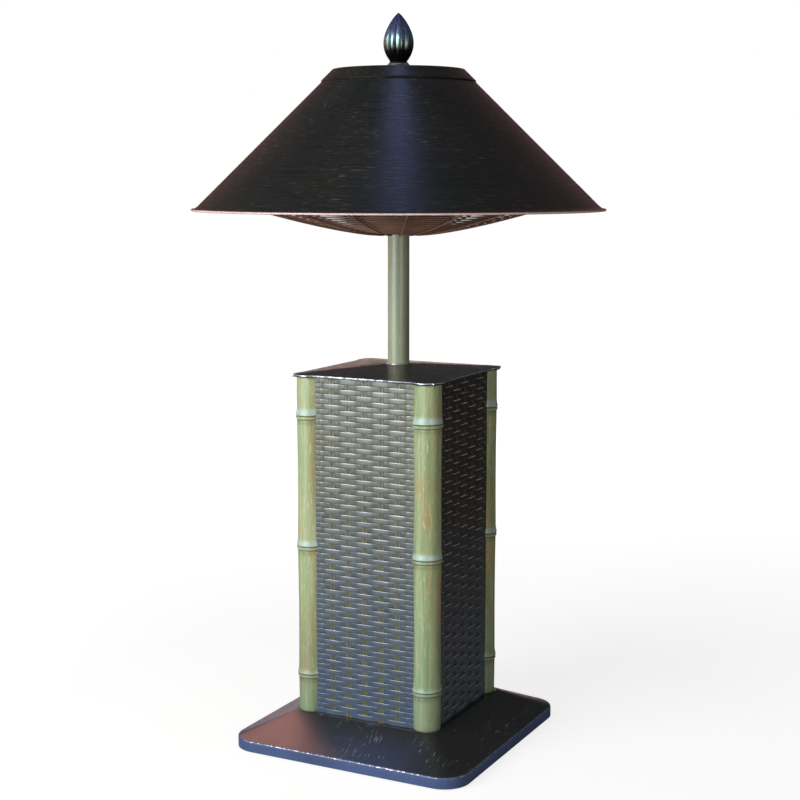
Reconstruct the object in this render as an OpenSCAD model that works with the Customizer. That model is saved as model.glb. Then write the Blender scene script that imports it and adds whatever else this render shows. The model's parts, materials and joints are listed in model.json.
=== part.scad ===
// Table-top electric patio heater in the form of a lamp.
// Square ballasted base, square column of woven panels between four bamboo-like posts,
// round pole, and a radiant head with three quartz tubes under a conical shade.
// Millimetres, +Z up, origin on the table under the middle of the base.
// The front is -Y, and the switch and cable gland are in the back panel at +Y.

/* [Base] */
// Width of the square base
base_w = 326; // [300:1:350]
// Corner radius of the base
base_r = 34; // [24:1:40]
// Height of the upright rim of the base
rim_h = 16; // [14:1:18]
// Height of the flat deck that the column stands on
deck_z = 43; // [40:1:46]
// Thickness of the pressed base pan
pan_t = 1.5; // [1:0.1:2]

/* [Column] */
// Distance of each post's axis from the middle, along X and along Y
post_c = 83; // [81:0.5:85]
// Radius of a post between its nodes
post_r = 17.5; // [17:0.1:18]
// Length of a post
post_len = 437.5; // [400:0.5:470]
// Spacing of the nodes on a post
node_pitch = 169; // [150:1:175]
// Distance from the middle to the outer face of a woven panel
panel_face = 94.8; // [94:0.1:95.5]
// Half width of the cap over the column
cap_half = 100; // [99:0.5:102]
// Radius of the round ear of the cap over each post
ear_r = 21.3; // [20.5:0.1:22]
// Rise of the cap from its edge to the pole
cap_rise = 9; // [7:0.5:12]

/* [Pole] */
// Radius of the pole
pole_r = 13.9; // [13:0.1:14.5]
// Wall thickness of the pole
pole_t = 1.5; // [1.2:0.1:2]

/* [Head] */
// Height of the innermost ring of the wire guard
guard_z = 659.5; // [655:0.5:662]
// Radius of the innermost ring of the guard
guard_r0 = 34; // [33:1:36]
// Number of rings in the guard
ring_count = 14; // [8:1:20]
// Number of spokes in the guard
spoke_count = 16; // [6:1:20]
// Height of the bottom edge of the shade
shade_z = 687.5; // [684:0.5:692]
// Radius of the shade at its rim
shade_r = 262; // [250:1:275]
// Radius of the shade at its top
shade_top_r = 82.5; // [75:0.5:90]
// Height of the top of the shade
shade_top_z = 863; // [845:1:880]
// Height of the tip of the finial
finial_tip_z = 932.5; // [925:0.5:945]
// Number of lobes round the finial
finial_lobes = 10; // [8:1:16]

/* [Hidden] */
$fn = 64;

// base
rim_gap = 1.5;                  // the pan's edge stays off the table
foot_h = 4;
foot_r = 12;
foot_c = 122;
plate_t = 2;
plate_z = foot_h;               // underside of the base plate
pan_half = base_w / 2;
deck_half = post_c + 18;
edge_round = 2.5;
standoff_x = 32;
standoff_y = 88;
standoff_r = 5;
ballast_x0 = 50;
ballast_x1 = 112;
ballast_y = 112;
ballast_h = 12;

// tip-over switch
tip_y = 58;
plunger_r = 4;
stem_r = 2.5;
stem_top = 35;
guide_top = 10;                 // top of the guide that the plunger slides in
plunger_travel = 6;
flange_z = guide_top + plunger_travel + 0.3;    // underside of the plunger's flange at rest
plunger_flange = 1.5;
cavity_top = 30;
housing_top = 31;
wire_hole = [0, tip_y - 12, 0]; // where the tip switch's lead comes up through the deck

// column
post_z0 = deck_z;
post_z1 = post_z0 + post_len;
post_bore = 14;
node_z = [for (i = [-1:1]) post_z0 + post_len / 2 + i * node_pitch];
tray_t = 2;
tray_half = panel_face - 2.3;
lip_h = 12;
panel_t = 2;
panel_half = 70.7;              // the edges run in grooves in the posts
groove = 2.4;
groove_stop = post_c - 12;
cap_edge = 2.5;                 // height of the cap's upright edge
cap_z = post_z1;
cap_top_z = cap_z + cap_edge + cap_rise;
cap_t = 1.2;
plug_h = 12;
plug_drop = 8;                  // the upper plugs sit this far down the posts
rod_r = 2.5;

// pole
flange_t = 4;
flange_top = deck_z + tray_t + flange_t;
socket_h = 28;
pole_z0 = flange_top;
pole_z1 = 680;
cable_r = 4.5;
cable_hole_z = 90;              // the cable enters the pole through its side here
cable_hole_r = 3.5;

// switch and gland in the back panel
switch_z = 104;
gland_z = 70;
plate_half_w = 27;
plate_y0 = panel_face + 0.2;
plate_y1 = plate_y0 + 2;
pivot_y = 96;
rocker_off = -10;               // tilt of the rocker in the off position, degrees
gland_bore = 4;
gland_y0 = 84;
gland_y1 = 112;

// head
guard_wire = 1.0;
spoke_wire = 1.1;
spoke_turn = 8.3;               // angle of the first spoke from +X
guard_r1 = 172;
guard_rise = 28.7;
guard_curve = 1.35;
hub_r = 31;
hub_t = 2;
can_r = 66;
can_z0 = 674;
can_z1 = 692;
cone_z = 662;                   // the can's conical cover comes down to here at the pole
reflector_r = 180;
reflector_z = can_z1 + 1;       // underside of the reflector's flat middle
sheet_t = 1;
channel_z = 716;                // roof of the annular reflector channel
shield_z = 728;
tube_z = 702;
tube_d = 90;                    // distance of each quartz tube from the axis
tube_r = 5;
tube_half = 100;
end_len = 16;
end_r = 7;
lip_w = 7.5;                    // the flared lip at the shade's rim
lip_rise = 5;
shade_t = 1.2;
skirt_h = 14;                   // depth of the top's skirt over the cone
seat_z = shade_top_z - 2.6;
rod8 = 4;                       // radius of the long threaded rod
rod8_top = 892;
collar_z0 = shade_top_z + 0.1;
collar_z1 = shade_top_z + 9;
collar_r = 14.3;
finial_z0 = collar_z1 + 0.2;
finial_h = finial_tip_z - finial_z0;
finial_r = 19.2;
finial_full_h = 67;             // height of the whole egg that the bud is cut from
fit_gap = 0.05;                 // radial clearance of a shaft or stud in its hole

BRONZE = [0.13, 0.12, 0.13];
BAMBOO = [0.62, 0.65, 0.50];
WICKER = [0.30, 0.29, 0.27];
GREEN = [0.56, 0.62, 0.53];
STEEL = [0.62, 0.63, 0.65];
RUBBER = [0.08, 0.08, 0.08];

// ---------- shared shapes ----------

// a square plate with round corners, half its width, its corner radius, bottom and top
module slab(half, r, z0, z1) {
    translate([0, 0, z0])
        linear_extrude(z1 - z0)
            rounded_square(half, r);
}

module rounded_square(half, r) {
    c = half - r;
    union() {
        square([2 * half, 2 * c], center = true);
        square([2 * c, 2 * half], center = true);
        for (x = [-c, c], y = [-c, c])
            translate([x, y]) circle(r);
    }
}

module ring(r_in, r_out, z0, z1) {
    translate([0, 0, z0])
        difference() {
            cylinder(r = r_out, h = z1 - z0);
            translate([0, 0, -1]) cylinder(r = r_in, h = z1 - z0 + 2);
        }
}

// a hexagon nut or bolt head, across flats
module hex(af, h) {
    cylinder(r = af / sqrt(3), h = h, $fn = 6);
}

module nut(af, bore, h) {
    difference() {
        hex(af, h);
        translate([0, 0, -1]) cylinder(r = bore, h = h + 2, $fn = 32);
    }
}

module at_corners(c) {
    for (x = [-c, c], y = [-c, c]) translate([x, y, 0]) children();
}

// a round wire swept along points; side is a direction that is never along the wire
function unit(v) = v / norm(v);
function tangent(p, i) = unit(p[min(i + 1, len(p) - 1)] - p[max(i - 1, 0)]);
function wire_ring(p, i, r, sides, side) =
    let (t = tangent(p, i), u = unit(cross(side, t)), v = cross(t, u))
    [for (k = [0:sides - 1]) p[i] + r * (cos(360 * k / sides) * u + sin(360 * k / sides) * v)];
module wire(p, r, sides = 8, side = [0, 0, 1]) {
    n = len(p);
    points = [for (i = [0:n - 1]) each wire_ring(p, i, r, sides, side)];
    walls = [for (i = [0:n - 2], k = [0:sides - 1])
        let (a = i * sides + k, b = i * sides + (k + 1) % sides)
        [a, a + sides, b + sides, b]];
    first = [for (k = [0:sides - 1]) k];
    last = [for (k = [sides - 1:-1:0]) (n - 1) * sides + k];
    polyhedron(points = points, faces = concat(walls, [first, last]), convexity = 6);
}

// points along a smooth curve from a to d that leaves towards b and arrives from c
function curve(a, b, c, d, n = 10) = [for (i = [0:n])
    let (t = i / n, u = 1 - t)
    u * u * u * a + 3 * u * u * t * b + 3 * u * t * t * c + t * t * t * d];

// ---------- base ----------

// the outside of the base pan, taken in by d all over; open at the bottom
module pan_form(d) {
    hull() {
        slab(pan_half - d, base_r - d, d > 0 ? 0 : rim_gap, rim_h - edge_round - d);
        for (a = [30, 60, 90])
            slab(pan_half - d - edge_round * (1 - cos(a)), base_r - d - edge_round * (1 - cos(a)),
                 rim_h - edge_round - d, rim_h - edge_round * (1 - sin(a)) - d);
        slab(deck_half, 18, deck_z - 1 - d, deck_z - d);
    }
}

module base_pan() {
    color(BRONZE)
        difference() {
            pan_form(0);
            pan_form(pan_t);
            at_corners(post_c) translate([0, 0, deck_z - 5]) cylinder(r = rod_r + 0.3, h = 10, $fn = 32);
            at_flange_bolts() translate([0, 0, deck_z - 5]) cylinder(r = 2.8, h = 10, $fn = 32);
            translate(wire_hole) cylinder(r = 6.5, h = deck_z + 1, $fn = 32);
        }
}

module at_standoffs() {
    for (x = [-standoff_x, standoff_x], y = [-standoff_y, standoff_y])
        translate([x, y, 0]) children();
}

module base_plate() {
    color(STEEL)
        difference() {
            slab(pan_half - pan_t - 1, base_r - pan_t - 1, plate_z, plate_z + plate_t);
            at_standoffs() translate([0, 0, plate_z - 1]) cylinder(r = 2.3, h = plate_t + 2, $fn = 32);
            translate([0, tip_y, plate_z - 1]) cylinder(r = plunger_r + 1, h = plate_t + 2, $fn = 48);
        }
}

module ballast_bars() {
    color(STEEL)
        for (s = [-1, 1])
            translate([s * (ballast_x0 + ballast_x1) / 2, 0, plate_z + plate_t + ballast_h / 2])
                cube([ballast_x1 - ballast_x0, 2 * ballast_y, ballast_h], center = true);
}

module base_feet() {
    color(RUBBER)
        at_corners(foot_c) union() {
            cylinder(r = foot_r - 1.5, h = foot_h);
            translate([0, 0, 1]) cylinder(r = foot_r, h = foot_h - 1);
        }
}

module base_standoffs() {
    color(STEEL)
        at_standoffs() difference() {
            translate([0, 0, plate_z + plate_t])
                cylinder(r = standoff_r, h = deck_z - pan_t - plate_z - plate_t, $fn = 32);
            translate([0, 0, plate_z]) cylinder(r = 2, h = 14, $fn = 32);
        }
}

module base_screws() {
    color(STEEL)
        at_standoffs() union() {
            translate([0, 0, plate_z - 2.2]) cylinder(r = 4, h = 2.2, $fn = 32);
            translate([0, 0, plate_z - 1]) cylinder(r = 2 - fit_gap, h = 12, $fn = 32);
        }
}

// ---------- tip-over switch ----------

module tip_housing() {
    base_z = plate_z + plate_t;
    color(RUBBER)
        translate([0, tip_y, 0])
            difference() {
                union() {
                    translate([0, 0, base_z]) cylinder(r = 10, h = housing_top - base_z);
                    translate([-17, -6, base_z]) cube([34, 12, 3]);
                }
                translate([0, 0, guide_top]) cylinder(r = 6.6, h = cavity_top - guide_top);
                cylinder(r = plunger_r + fit_gap, h = guide_top + 1);
                cylinder(r = stem_r + 0.3, h = housing_top + 1);
            }
}

module tip_plunger() {
    color([0.75, 0.2, 0.15])
        translate([0, tip_y, 0])
            union() {
                cylinder(r = plunger_r, h = flange_z + plunger_flange);
                translate([0, 0, flange_z]) cylinder(r = 6.3, h = plunger_flange);
                cylinder(r = stem_r, h = stem_top);
            }
}

module tip_spring() {
    turns = 5;
    per_turn = 14;
    r = 5.3;
    z0 = flange_z + plunger_flange + 0.5;
    z1 = cavity_top - 0.5;
    steps = turns * per_turn;
    color(STEEL)
        translate([0, tip_y, 0])
            wire([for (i = [0:steps])
                      [r * cos(i * 360 / per_turn), r * sin(i * 360 / per_turn),
                       z0 + (z1 - z0) * i / steps]],
                 0.45, 6);
}

// switch contacts over the housing, worked by the plunger's stem
module tip_contact() {
    color([0.2, 0.2, 0.22])
        translate([0, tip_y, housing_top + 0.05])
            difference() {
                translate([-11, -5, 0]) cube([22, 10, 9]);
                translate([0, 0, -1]) cylinder(r = stem_r + 0.3, h = 7);
            }
}

// ---------- column ----------

module tray(z, up) {
    difference() {
        union() {
            translate([-tray_half, -tray_half, z]) cube([2 * tray_half, 2 * tray_half, tray_t]);
            difference() {
                z0 = up ? z : z - lip_h;
                translate([-tray_half, -tray_half, z0])
                    cube([2 * tray_half, 2 * tray_half, lip_h + tray_t]);
                translate([-tray_half + 1.5, -tray_half + 1.5, z0 - 1])
                    cube([2 * tray_half - 3, 2 * tray_half - 3, lip_h + tray_t + 2]);
            }
        }
        at_corners(post_c) translate([0, 0, z - lip_h - 1])
            cylinder(r = post_r + 2.5, h = 2 * lip_h + 5);
    }
}

module foot_tray() {
    color(STEEL)
        difference() {
            tray(deck_z, true);
            at_flange_bolts() translate([0, 0, deck_z - 1]) cylinder(r = 2.8, h = 5, $fn = 32);
            translate(wire_hole) cylinder(r = 5.8, h = deck_z + 5, $fn = 32);
        }
}

module head_tray() {
    color(STEEL)
        difference() {
            tray(post_z1 - tray_t, false);
            translate([0, 0, post_z1 - 5]) cylinder(r = pole_r + 0.3, h = 8);
        }
}

// radius of a post at a height above or below the nearest node: a flared shoulder above the
// groove, a ridge under it, then a long gentle waist
function shoulder(d) = d >= 0
    ? 1.5 * exp(-d * d / 30)
    : 1.4 * exp(-d * d / 14);
function post_radius(z) =
    let (d = [for (n = node_z) z - n], near = min([for (v = d) abs(v)]))
    post_r - 0.55 * (1 - exp(-near * near / 1800)) + max([for (v = d) shoulder(v)])
    - (near < 0.7 ? 1.1 : 0);
// heights where the outline of a post has a point: close together at a node
function post_steps() = concat(
    [post_z0],
    [for (n = node_z) each [for (d = [-40, -25, -14, -8, -5.5, -3.5, -2, -0.9, -0.6,
                                      0.6, 0.9, 2.5, 4.5, 7, 10, 16, 26, 42]) n + d]],
    [post_z1]);

module post(x, y) {
    color(BAMBOO)
        difference() {
            translate([x, y, 0])
                rotate_extrude()
                    polygon(concat([[post_bore, post_z0]],
                                   [for (z = post_steps()) [post_radius(z), z]],
                                   [[post_bore, post_z1]]));
            // grooves for the edges of the two panels
            mirror([x < 0 ? 1 : 0, 0, 0]) mirror([0, y < 0 ? 1 : 0, 0]) {
                translate([0, panel_face - panel_t - 0.2, post_z0 - 1])
                    cube([groove_stop, groove, post_len + 2]);
                translate([panel_face - panel_t - 0.2, 0, post_z0 - 1])
                    cube([groove, groove_stop, post_len + 2]);
            }
        }
}

module post_front_left() { post(-post_c, -post_c); }
module post_front_right() { post(post_c, -post_c); }
module post_back_right() { post(post_c, post_c); }
module post_back_left() { post(-post_c, post_c); }

module post_plugs() {
    color(RUBBER)
        for (z = [post_z0 + 0.1, post_z1 - plug_drop - plug_h])
            at_corners(post_c) ring(rod_r + fit_gap, post_bore - fit_gap, z, z + plug_h);
}

module tie_rods() {
    color(STEEL)
        at_corners(post_c) translate([0, 0, deck_z - 8]) cylinder(r = rod_r, h = post_len + 5);
}

module tie_nuts() {
    color(STEEL)
        at_corners(post_c) {
            translate([0, 0, deck_z - pan_t - 4]) nut(8, rod_r + fit_gap, 4);
            translate([0, 0, post_z1 - plug_drop + 0.1]) nut(8, rod_r + fit_gap, 4);
        }
}

module panel_blank() {
    translate([-panel_half, -panel_face, post_z0 + 0.2])
        cube([2 * panel_half, panel_t, post_len - 0.4]);
}

module panel_front() { color(WICKER) panel_blank(); }
module panel_right() { color(WICKER) rotate([0, 0, 90]) panel_blank(); }
module panel_left() { color(WICKER) rotate([0, 0, -90]) panel_blank(); }
module panel_back() {
    color(WICKER)
        difference() {
            rotate([0, 0, 180]) panel_blank();
            translate([-11.5, panel_face - 5, switch_z - 16]) cube([23, 10, 32]);
            translate([0, panel_face + 5, gland_z]) rotate([90, 0, 0]) cylinder(r = 9, h = 10);
            at_plate_screws() rotate([90, 0, 0]) cylinder(r = 1.7, h = 8, $fn = 32);
        }
}

// the cap's outline: a square with a round ear over each post, taken in by d
module cap_outline(d) {
    union() {
        square(2 * (cap_half - d), center = true);
        for (x = [-post_c, post_c], y = [-post_c, post_c])
            translate([x, y]) circle(ear_r - d);
    }
}

module cap_form(d) {
    intersection() {
        translate([0, 0, cap_z - (d > 0 ? 1 : 0)])
            linear_extrude(cap_edge + cap_rise + 2) cap_outline(d);
        hull() {
            translate([0, 0, cap_z - 2]) linear_extrude(cap_edge + 1.5 - d) square(2 * 112, center = true);
            translate([0, 0, cap_top_z - 0.5 - d]) cylinder(r = pole_r + 3, h = 0.5, $fn = 32);
        }
    }
}

module column_cap() {
    color(BRONZE)
        difference() {
            cap_form(0);
            cap_form(cap_t);
            translate([0, 0, cap_z - 1]) cylinder(r = pole_r + 0.2, h = 20);
        }
}

// ---------- pole ----------

module pole() {
    color(GREEN)
        difference() {
            ring(pole_r - pole_t, pole_r, pole_z0, pole_z1);
            translate([0, 0, cable_hole_z]) rotate([0, 90, 0]) cylinder(r = cable_hole_r, h = 20);
        }
}

module at_flange_bolts() {
    for (a = [45:90:315]) rotate([0, 0, a]) translate([31, 0, 0]) children();
}

module pole_flange() {
    color(STEEL)
        difference() {
            union() {
                translate([0, 0, deck_z + tray_t]) cylinder(r = 40, h = flange_t);
                translate([0, 0, deck_z + tray_t]) cylinder(r = 19, h = flange_t + socket_h);
            }
            translate([0, 0, flange_top]) cylinder(r = pole_r + fit_gap, h = socket_h + 1);
            translate([0, 0, deck_z]) cylinder(r = 9, h = 20);
            at_flange_bolts() translate([0, 0, deck_z]) cylinder(r = 2.8, h = 20, $fn = 32);
        }
}

module flange_bolts() {
    color(STEEL)
        at_flange_bolts() {
            translate([0, 0, deck_z - pan_t - 6]) cylinder(r = 2.5, h = flange_top - deck_z + pan_t + 7, $fn = 32);
            translate([0, 0, flange_top]) ring_head();
            translate([0, 0, deck_z - pan_t - 4.2]) nut(8, 2.5 + fit_gap, 4);
        }
}

module ring_head() {
    difference() {
        translate([0, 0, 0.05]) hex(8, 3.5);
        translate([0, 0, -1]) cylinder(r = 2.5 + fit_gap, h = 1.1, $fn = 32);
    }
}

// retaining ring that holds the cap down on the pole
module pole_collar() {
    color([0.8, 0.82, 0.8])
        translate([0, 0, cap_top_z + 0.1])
            difference() {
                cylinder(r1 = pole_r + 2.4, r2 = pole_r + 1.8, h = 1.8);
                translate([0, 0, -1]) cylinder(r = pole_r + fit_gap, h = 4);
            }
}

// ---------- switch, gland and wiring ----------

module switch_plate() {
    color(BRONZE)
        difference() {
            translate([-plate_half_w, plate_y0, gland_z - 16])
                cube([2 * plate_half_w, plate_y1 - plate_y0, switch_z - gland_z + 38]);
            translate([-11.2, plate_y0 - 1, switch_z - 15.2]) cube([22.4, 4, 30.4]);
            translate([0, plate_y1 + 1, gland_z]) rotate([90, 0, 0]) cylinder(r = 8, h = 5);
            at_plate_screws() rotate([90, 0, 0]) cylinder(r = 1.8, h = 5, $fn = 32);
        }
}

module at_plate_screws() {
    for (x = [-22, 22], z = [gland_z - 11, switch_z + 17]) translate([x, plate_y1 + 1, z]) children();
}

module switch_body() {
    color(RUBBER)
        difference() {
            union() {
                translate([-13, plate_y1 + 0.05, switch_z - 17]) cube([26, 2, 34]);
                translate([-11, plate_y1 - 30, switch_z - 15]) cube([22, 30.1, 30]);
                for (z = [-8, 0, 8]) translate([-2.4, plate_y1 - 37, switch_z + z]) cube([4.8, 7.1, 0.8]);
            }
            translate([-6.7, pivot_y - 6, switch_z - 11]) cube([13.4, 20, 22]);
            translate([-7.7, pivot_y, switch_z]) rotate([0, 90, 0]) cylinder(r = 1.55, h = 15.4, $fn = 32);
        }
}

module switch_rocker() {
    color([0.7, 0.12, 0.1])
        translate([0, pivot_y, switch_z])
            rotate([rocker_off, 0, 0])
                union() {
                    translate([6.3, 0, 0])
                        rotate([0, -90, 0])
                            linear_extrude(12.6)
                                polygon([[-7, -3], [7, -3], [9.6, 5.2], [0, 3.6], [-9.6, 5.2]]);
                    translate([-7.5, 0, 0]) rotate([0, 90, 0]) cylinder(r = 1.5, h = 15, $fn = 32);
                }
}

module plate_screws() {
    color(STEEL)
        at_plate_screws() translate([0, -1, 0]) rotate([90, 0, 0])
            union() {
                translate([0, 0, -1.8]) cylinder(r = 3.2, h = 1.75, $fn = 32);
                translate([0, 0, -0.5]) cylinder(r = 1.5, h = 6.5, $fn = 32);
            }
}

module cable_gland() {
    color(RUBBER)
        translate([0, gland_y0, gland_z]) rotate([-90, 0, 0])
            difference() {
                union() {
                    cylinder(r = 7.8, h = plate_y1 - gland_y0 + 1);
                    translate([0, 0, plate_y1 - gland_y0 + 0.05]) hex(20, 4.5);
                    translate([0, 0, plate_y1 - gland_y0 + 4]) cylinder(r = 9, h = 7);
                    translate([0, 0, plate_y1 - gland_y0 + 10.9])
                        cylinder(r1 = 9, r2 = 6, h = gland_y1 - plate_y1 - 10.9);
                }
                translate([0, 0, -1]) cylinder(r = gland_bore, h = gland_y1 - gland_y0 + 2);
            }
}

module gland_nut() {
    color(RUBBER)
        translate([0, panel_face - panel_t - 4.8, gland_z]) rotate([-90, 0, 0]) nut(20, 7.85, 4.6);
}

module terminal_block() {
    color([0.9, 0.9, 0.86])
        translate([44, 26, deck_z + tray_t])
            difference() {
                cube([14, 36, 14]);
                for (y = [6, 18, 30]) translate([7, y, 8]) cylinder(r = 2.4, h = 7, $fn = 24);
            }
}

// leads from the gland to the block, and from the block to the switch, pole and tip switch
module inner_leads() {
    color([0.85, 0.83, 0.78]) {
        wire(curve([0, 79, 70], [0, 60, 66], [51, 90, 52], [51, 62.9, 52]), 3.2, 8);
        wire(curve([51, 56, 59.6], [51, 56, 90], [30, 58, 104], [4, 58, 104]), 1.4, 8, [0, 1, 0]);
        wire(curve([43, 40, 54], [25, 40, 57], [40, 0, 92], [7, 0, cable_hole_z]), 2.4, 8);
        wire(curve([0, 52.5, 35], [-2, 44, 34], [-2, 41, 63], [43, 32, 54]), 1.4, 8, [1, 0, 0.2]);
    }
}

module pole_cable() {
    color([0.85, 0.83, 0.78])
        translate([0, 0, cable_hole_z - 5]) cylinder(r = cable_r, h = pole_z1 - cable_hole_z, $fn = 32);
}

// ---------- head ----------

// height of the dished wire guard at a radius
function guard_height(r) = guard_z
    + guard_rise * pow(max(r - guard_r0, 0) / (guard_r1 - guard_r0), guard_curve);
function guard_slope(r) = (guard_height(r + 0.5) - guard_height(r - 0.5));

module guard_rings() {
    color(BRONZE)
        for (i = [0:ring_count - 1]) {
            r = guard_r0 + (guard_r1 - guard_r0) * i / (ring_count - 1);
            rotate_extrude() translate([r, guard_height(r)]) circle(guard_wire, $fn = 24);
        }
}

// the spokes run under the rings and turn up to the reflector's rim
module guard_spokes() {
    lift = guard_wire + spoke_wire + 0.03;
    under = [for (r = [hub_r - 4, guard_r0 + 2, 50, 70, 90, 110, 130, 150, guard_r1])
        let (s = guard_slope(r), n = sqrt(1 + s * s))
        [r + lift * s / n, 0, guard_height(r) - lift / n]];
    color(BRONZE)
        for (k = [0:spoke_count - 1])
            rotate([0, 0, spoke_turn + 360 * k / spoke_count])
                wire(concat(under, [[guard_r1 + 3, 0, guard_height(guard_r1) + 0.5],
                                    [guard_r1 + 3.6, 0, reflector_z + 0.9]]),
                     spoke_wire, 8, [0, 1, 0]);
}

// the collar on the pole and the flat ring that the spokes are welded to
module guard_hub() {
    z0 = guard_z - guard_wire + 0.05;
    color(BRONZE)
        union() {
            ring(pole_r + 0.3, hub_r, z0, z0 + hub_t);
            ring(pole_r + 0.3, pole_r + 2.8, z0, cone_z - 0.1);
        }
}

module head_flange() {
    color(STEEL)
        difference() {
            union() {
                ring(pole_r + fit_gap, 19, can_z0 + 0.5, can_z1 - 3);
                translate([0, 0, can_z1 - 3]) cylinder(r = 60, h = 2.8);
            }
            translate([0, 0, can_z1 - 5]) cylinder(r = rod8 + fit_gap, h = 8);
            for (a = [0, 120, 240]) rotate([0, 0, a])
                translate([10, -4, pole_z1 + 1]) cube([14, 8, 6]);
            for (a = [60:120:300]) rotate([0, 0, a])
                translate([40, 0, can_z1 - 5]) cylinder(r = 7, h = 8, $fn = 32);
        }
}

module junction_can() {
    color(BRONZE)
        union() {
            ring(can_r - 1, can_r, can_z0, can_z1 + 0.8);
            ring(can_r - 6, can_r - 0.5, can_z0, can_z0 + 1);
        }
}

module can_cover() {
    edge = can_z0 - 0.1;
    color(BRONZE)
        rotate_extrude()
            polygon([[pole_r + 0.3, cone_z], [can_r, edge - 1.1], [can_r, edge],
                     [pole_r + 0.3, cone_z + 1.1]]);
}

// an annular trough over the tubes: flat middle, roof, and a rim with a flange
module reflector() {
    z = reflector_z;
    roof = channel_z;
    color([0.85, 0.86, 0.88])
        difference() {
            rotate_extrude()
                polygon([[0, z], [can_r + 1, z], [can_r + 10, roof], [150, roof], [167, z + 1],
                         [reflector_r, z + 1], [reflector_r, z + 1 + sheet_t], [167.7, z + 1 + sheet_t],
                         [150.7, roof + sheet_t], [can_r + 9.3, roof + sheet_t],
                         [can_r + 0.3, z + sheet_t], [0, z + sheet_t]]);
            translate([0, 0, z - 1]) cylinder(r = rod8 + 0.3, h = 5);
        }
}

module at_spacers() {
    for (a = [30:120:270]) rotate([0, 0, a]) translate([120, 0, 0]) children();
}

module heat_shield() {
    color(STEEL)
        difference() {
            translate([0, 0, shield_z]) cylinder(r = 160, h = 1);
            translate([0, 0, shield_z - 1]) cylinder(r = rod8 + 0.3, h = 3);
        }
}

module shield_spacers() {
    color(STEEL)
        at_spacers() ring(2.5, 5, channel_z + 1.05, shield_z - 0.05);
}

// places a piece along quartz tube number k, with X along the tube
module on_tube(k) {
    rotate([0, 0, 120 * k]) translate([0, tube_d, tube_z]) children();
}

module quartz_tube(k) {
    color([0.9, 0.75, 0.6, 0.6])
        on_tube(k) rotate([0, 90, 0])
            difference() {
                translate([0, 0, -tube_half]) cylinder(r = tube_r, h = 2 * tube_half);
                translate([0, 0, -tube_half - 1]) cylinder(r = tube_r - 1, h = 2 * tube_half + 2);
            }
}
module quartz_tube_a() { quartz_tube(0); }
module quartz_tube_b() { quartz_tube(1); }
module quartz_tube_c() { quartz_tube(2); }

module filaments() {
    color([0.9, 0.5, 0.2])
        for (k = [0:2]) on_tube(k) rotate([0, 90, 0])
            translate([0, 0, -tube_half + 2]) cylinder(r = 1.8, h = 2 * tube_half - 4, $fn = 24);
}

module tube_end_caps() {
    color([0.92, 0.9, 0.84])
        for (k = [0:2], s = [-1, 1]) on_tube(k) rotate([0, 90 * s, 0])
            translate([0, 0, tube_half - 4])
                difference() {
                    cylinder(r = end_r, h = end_len, $fn = 48);
                    translate([0, 0, -1]) cylinder(r = tube_r + fit_gap, h = 5.1);
                }
}

module tube_clips() {
    color(STEEL)
        for (k = [0:2], s = [-1, 1]) on_tube(k)
            translate([s * (tube_half + 6), 0, 0])
                difference() {
                    translate([-2.5, -5, 0]) cube([5, 10, channel_z - tube_z - 0.05]);
                    rotate([0, 90, 0]) cylinder(r = end_r + 0.1, h = 20, center = true, $fn = 48);
                }
}

// one lead from the can to each end of each tube
module head_leads() {
    color([0.85, 0.83, 0.78])
        for (k = [0:2], s = [-1, 1])
            rotate([0, 0, 120 * k])
                wire(curve([22 * s, 64, 684], [45 * s, 80, 684], [136 * s, 82, 694],
                           [113 * s, tube_d, tube_z - 2], 12), 1.1, 6);
}

module shade() {
    lip_r = shade_r - lip_w;
    lip_z = shade_z + lip_rise;
    top_r = shade_top_r - 0.2;
    color(BRONZE)
        union() {
            rotate_extrude()
                polygon([[lip_r, lip_z], [top_r, shade_top_z - 1.4],
                         [top_r - shade_t * 1.4, shade_top_z - 1.4],
                         [lip_r - shade_t * 1.4, lip_z], [shade_r - 2, shade_z + 0.3],
                         [shade_r - 1, shade_z + 1.6]]);
            // rolled bead at the rim
            rotate_extrude() translate([shade_r - 1.5, shade_z + 1.5]) circle(1.5, $fn = 24);
        }
}

module shade_top() {
    cone = (shade_r - lip_w - shade_top_r) / (shade_top_z - shade_z - lip_rise);
    skirt_r = shade_top_r + skirt_h * cone;
    color(BRONZE)
        difference() {
            rotate_extrude()
                polygon([[0, shade_top_z - 1.2], [shade_top_r, shade_top_z - 1.2],
                         [skirt_r + 0.2, shade_top_z - skirt_h - 1.2],
                         [skirt_r + 1.1, shade_top_z - skirt_h - 0.8],
                         [shade_top_r + 1.0, shade_top_z - 0.4], [shade_top_r - 0.5, shade_top_z],
                         [0, shade_top_z]]);
            translate([0, 0, shade_top_z - 5]) cylinder(r = rod8 + 0.3, h = 10);
        }
}

module shade_seat() {
    color(STEEL)
        ring(rod8 + fit_gap, 32, seat_z - 0.1, seat_z + 1.3);
}

module center_rod() {
    color(STEEL)
        translate([0, 0, pole_z1 + 1.5]) cylinder(r = rod8, h = rod8_top - pole_z1 - 1.5);
}

module rod_nuts() {
    color(STEEL)
        for (z = [can_z1 - 9.6, can_z1 + 2.1, shield_z - 6.6, shield_z + 1.1, seat_z - 6.7])
            translate([0, 0, z]) nut(13, rod8 + fit_gap, 6.5);
}

module finial_collar() {
    color(BRONZE)
        rotate_extrude()
            polygon([[rod8 + 0.3, collar_z0], [collar_r, collar_z0], [collar_r, collar_z0 + 5.4],
                     [collar_r - 0.7, collar_z0 + 6.6], [12, collar_z1 - 0.8], [11.4, collar_z1],
                     [rod8 + 0.3, collar_z1]]);
}

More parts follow.
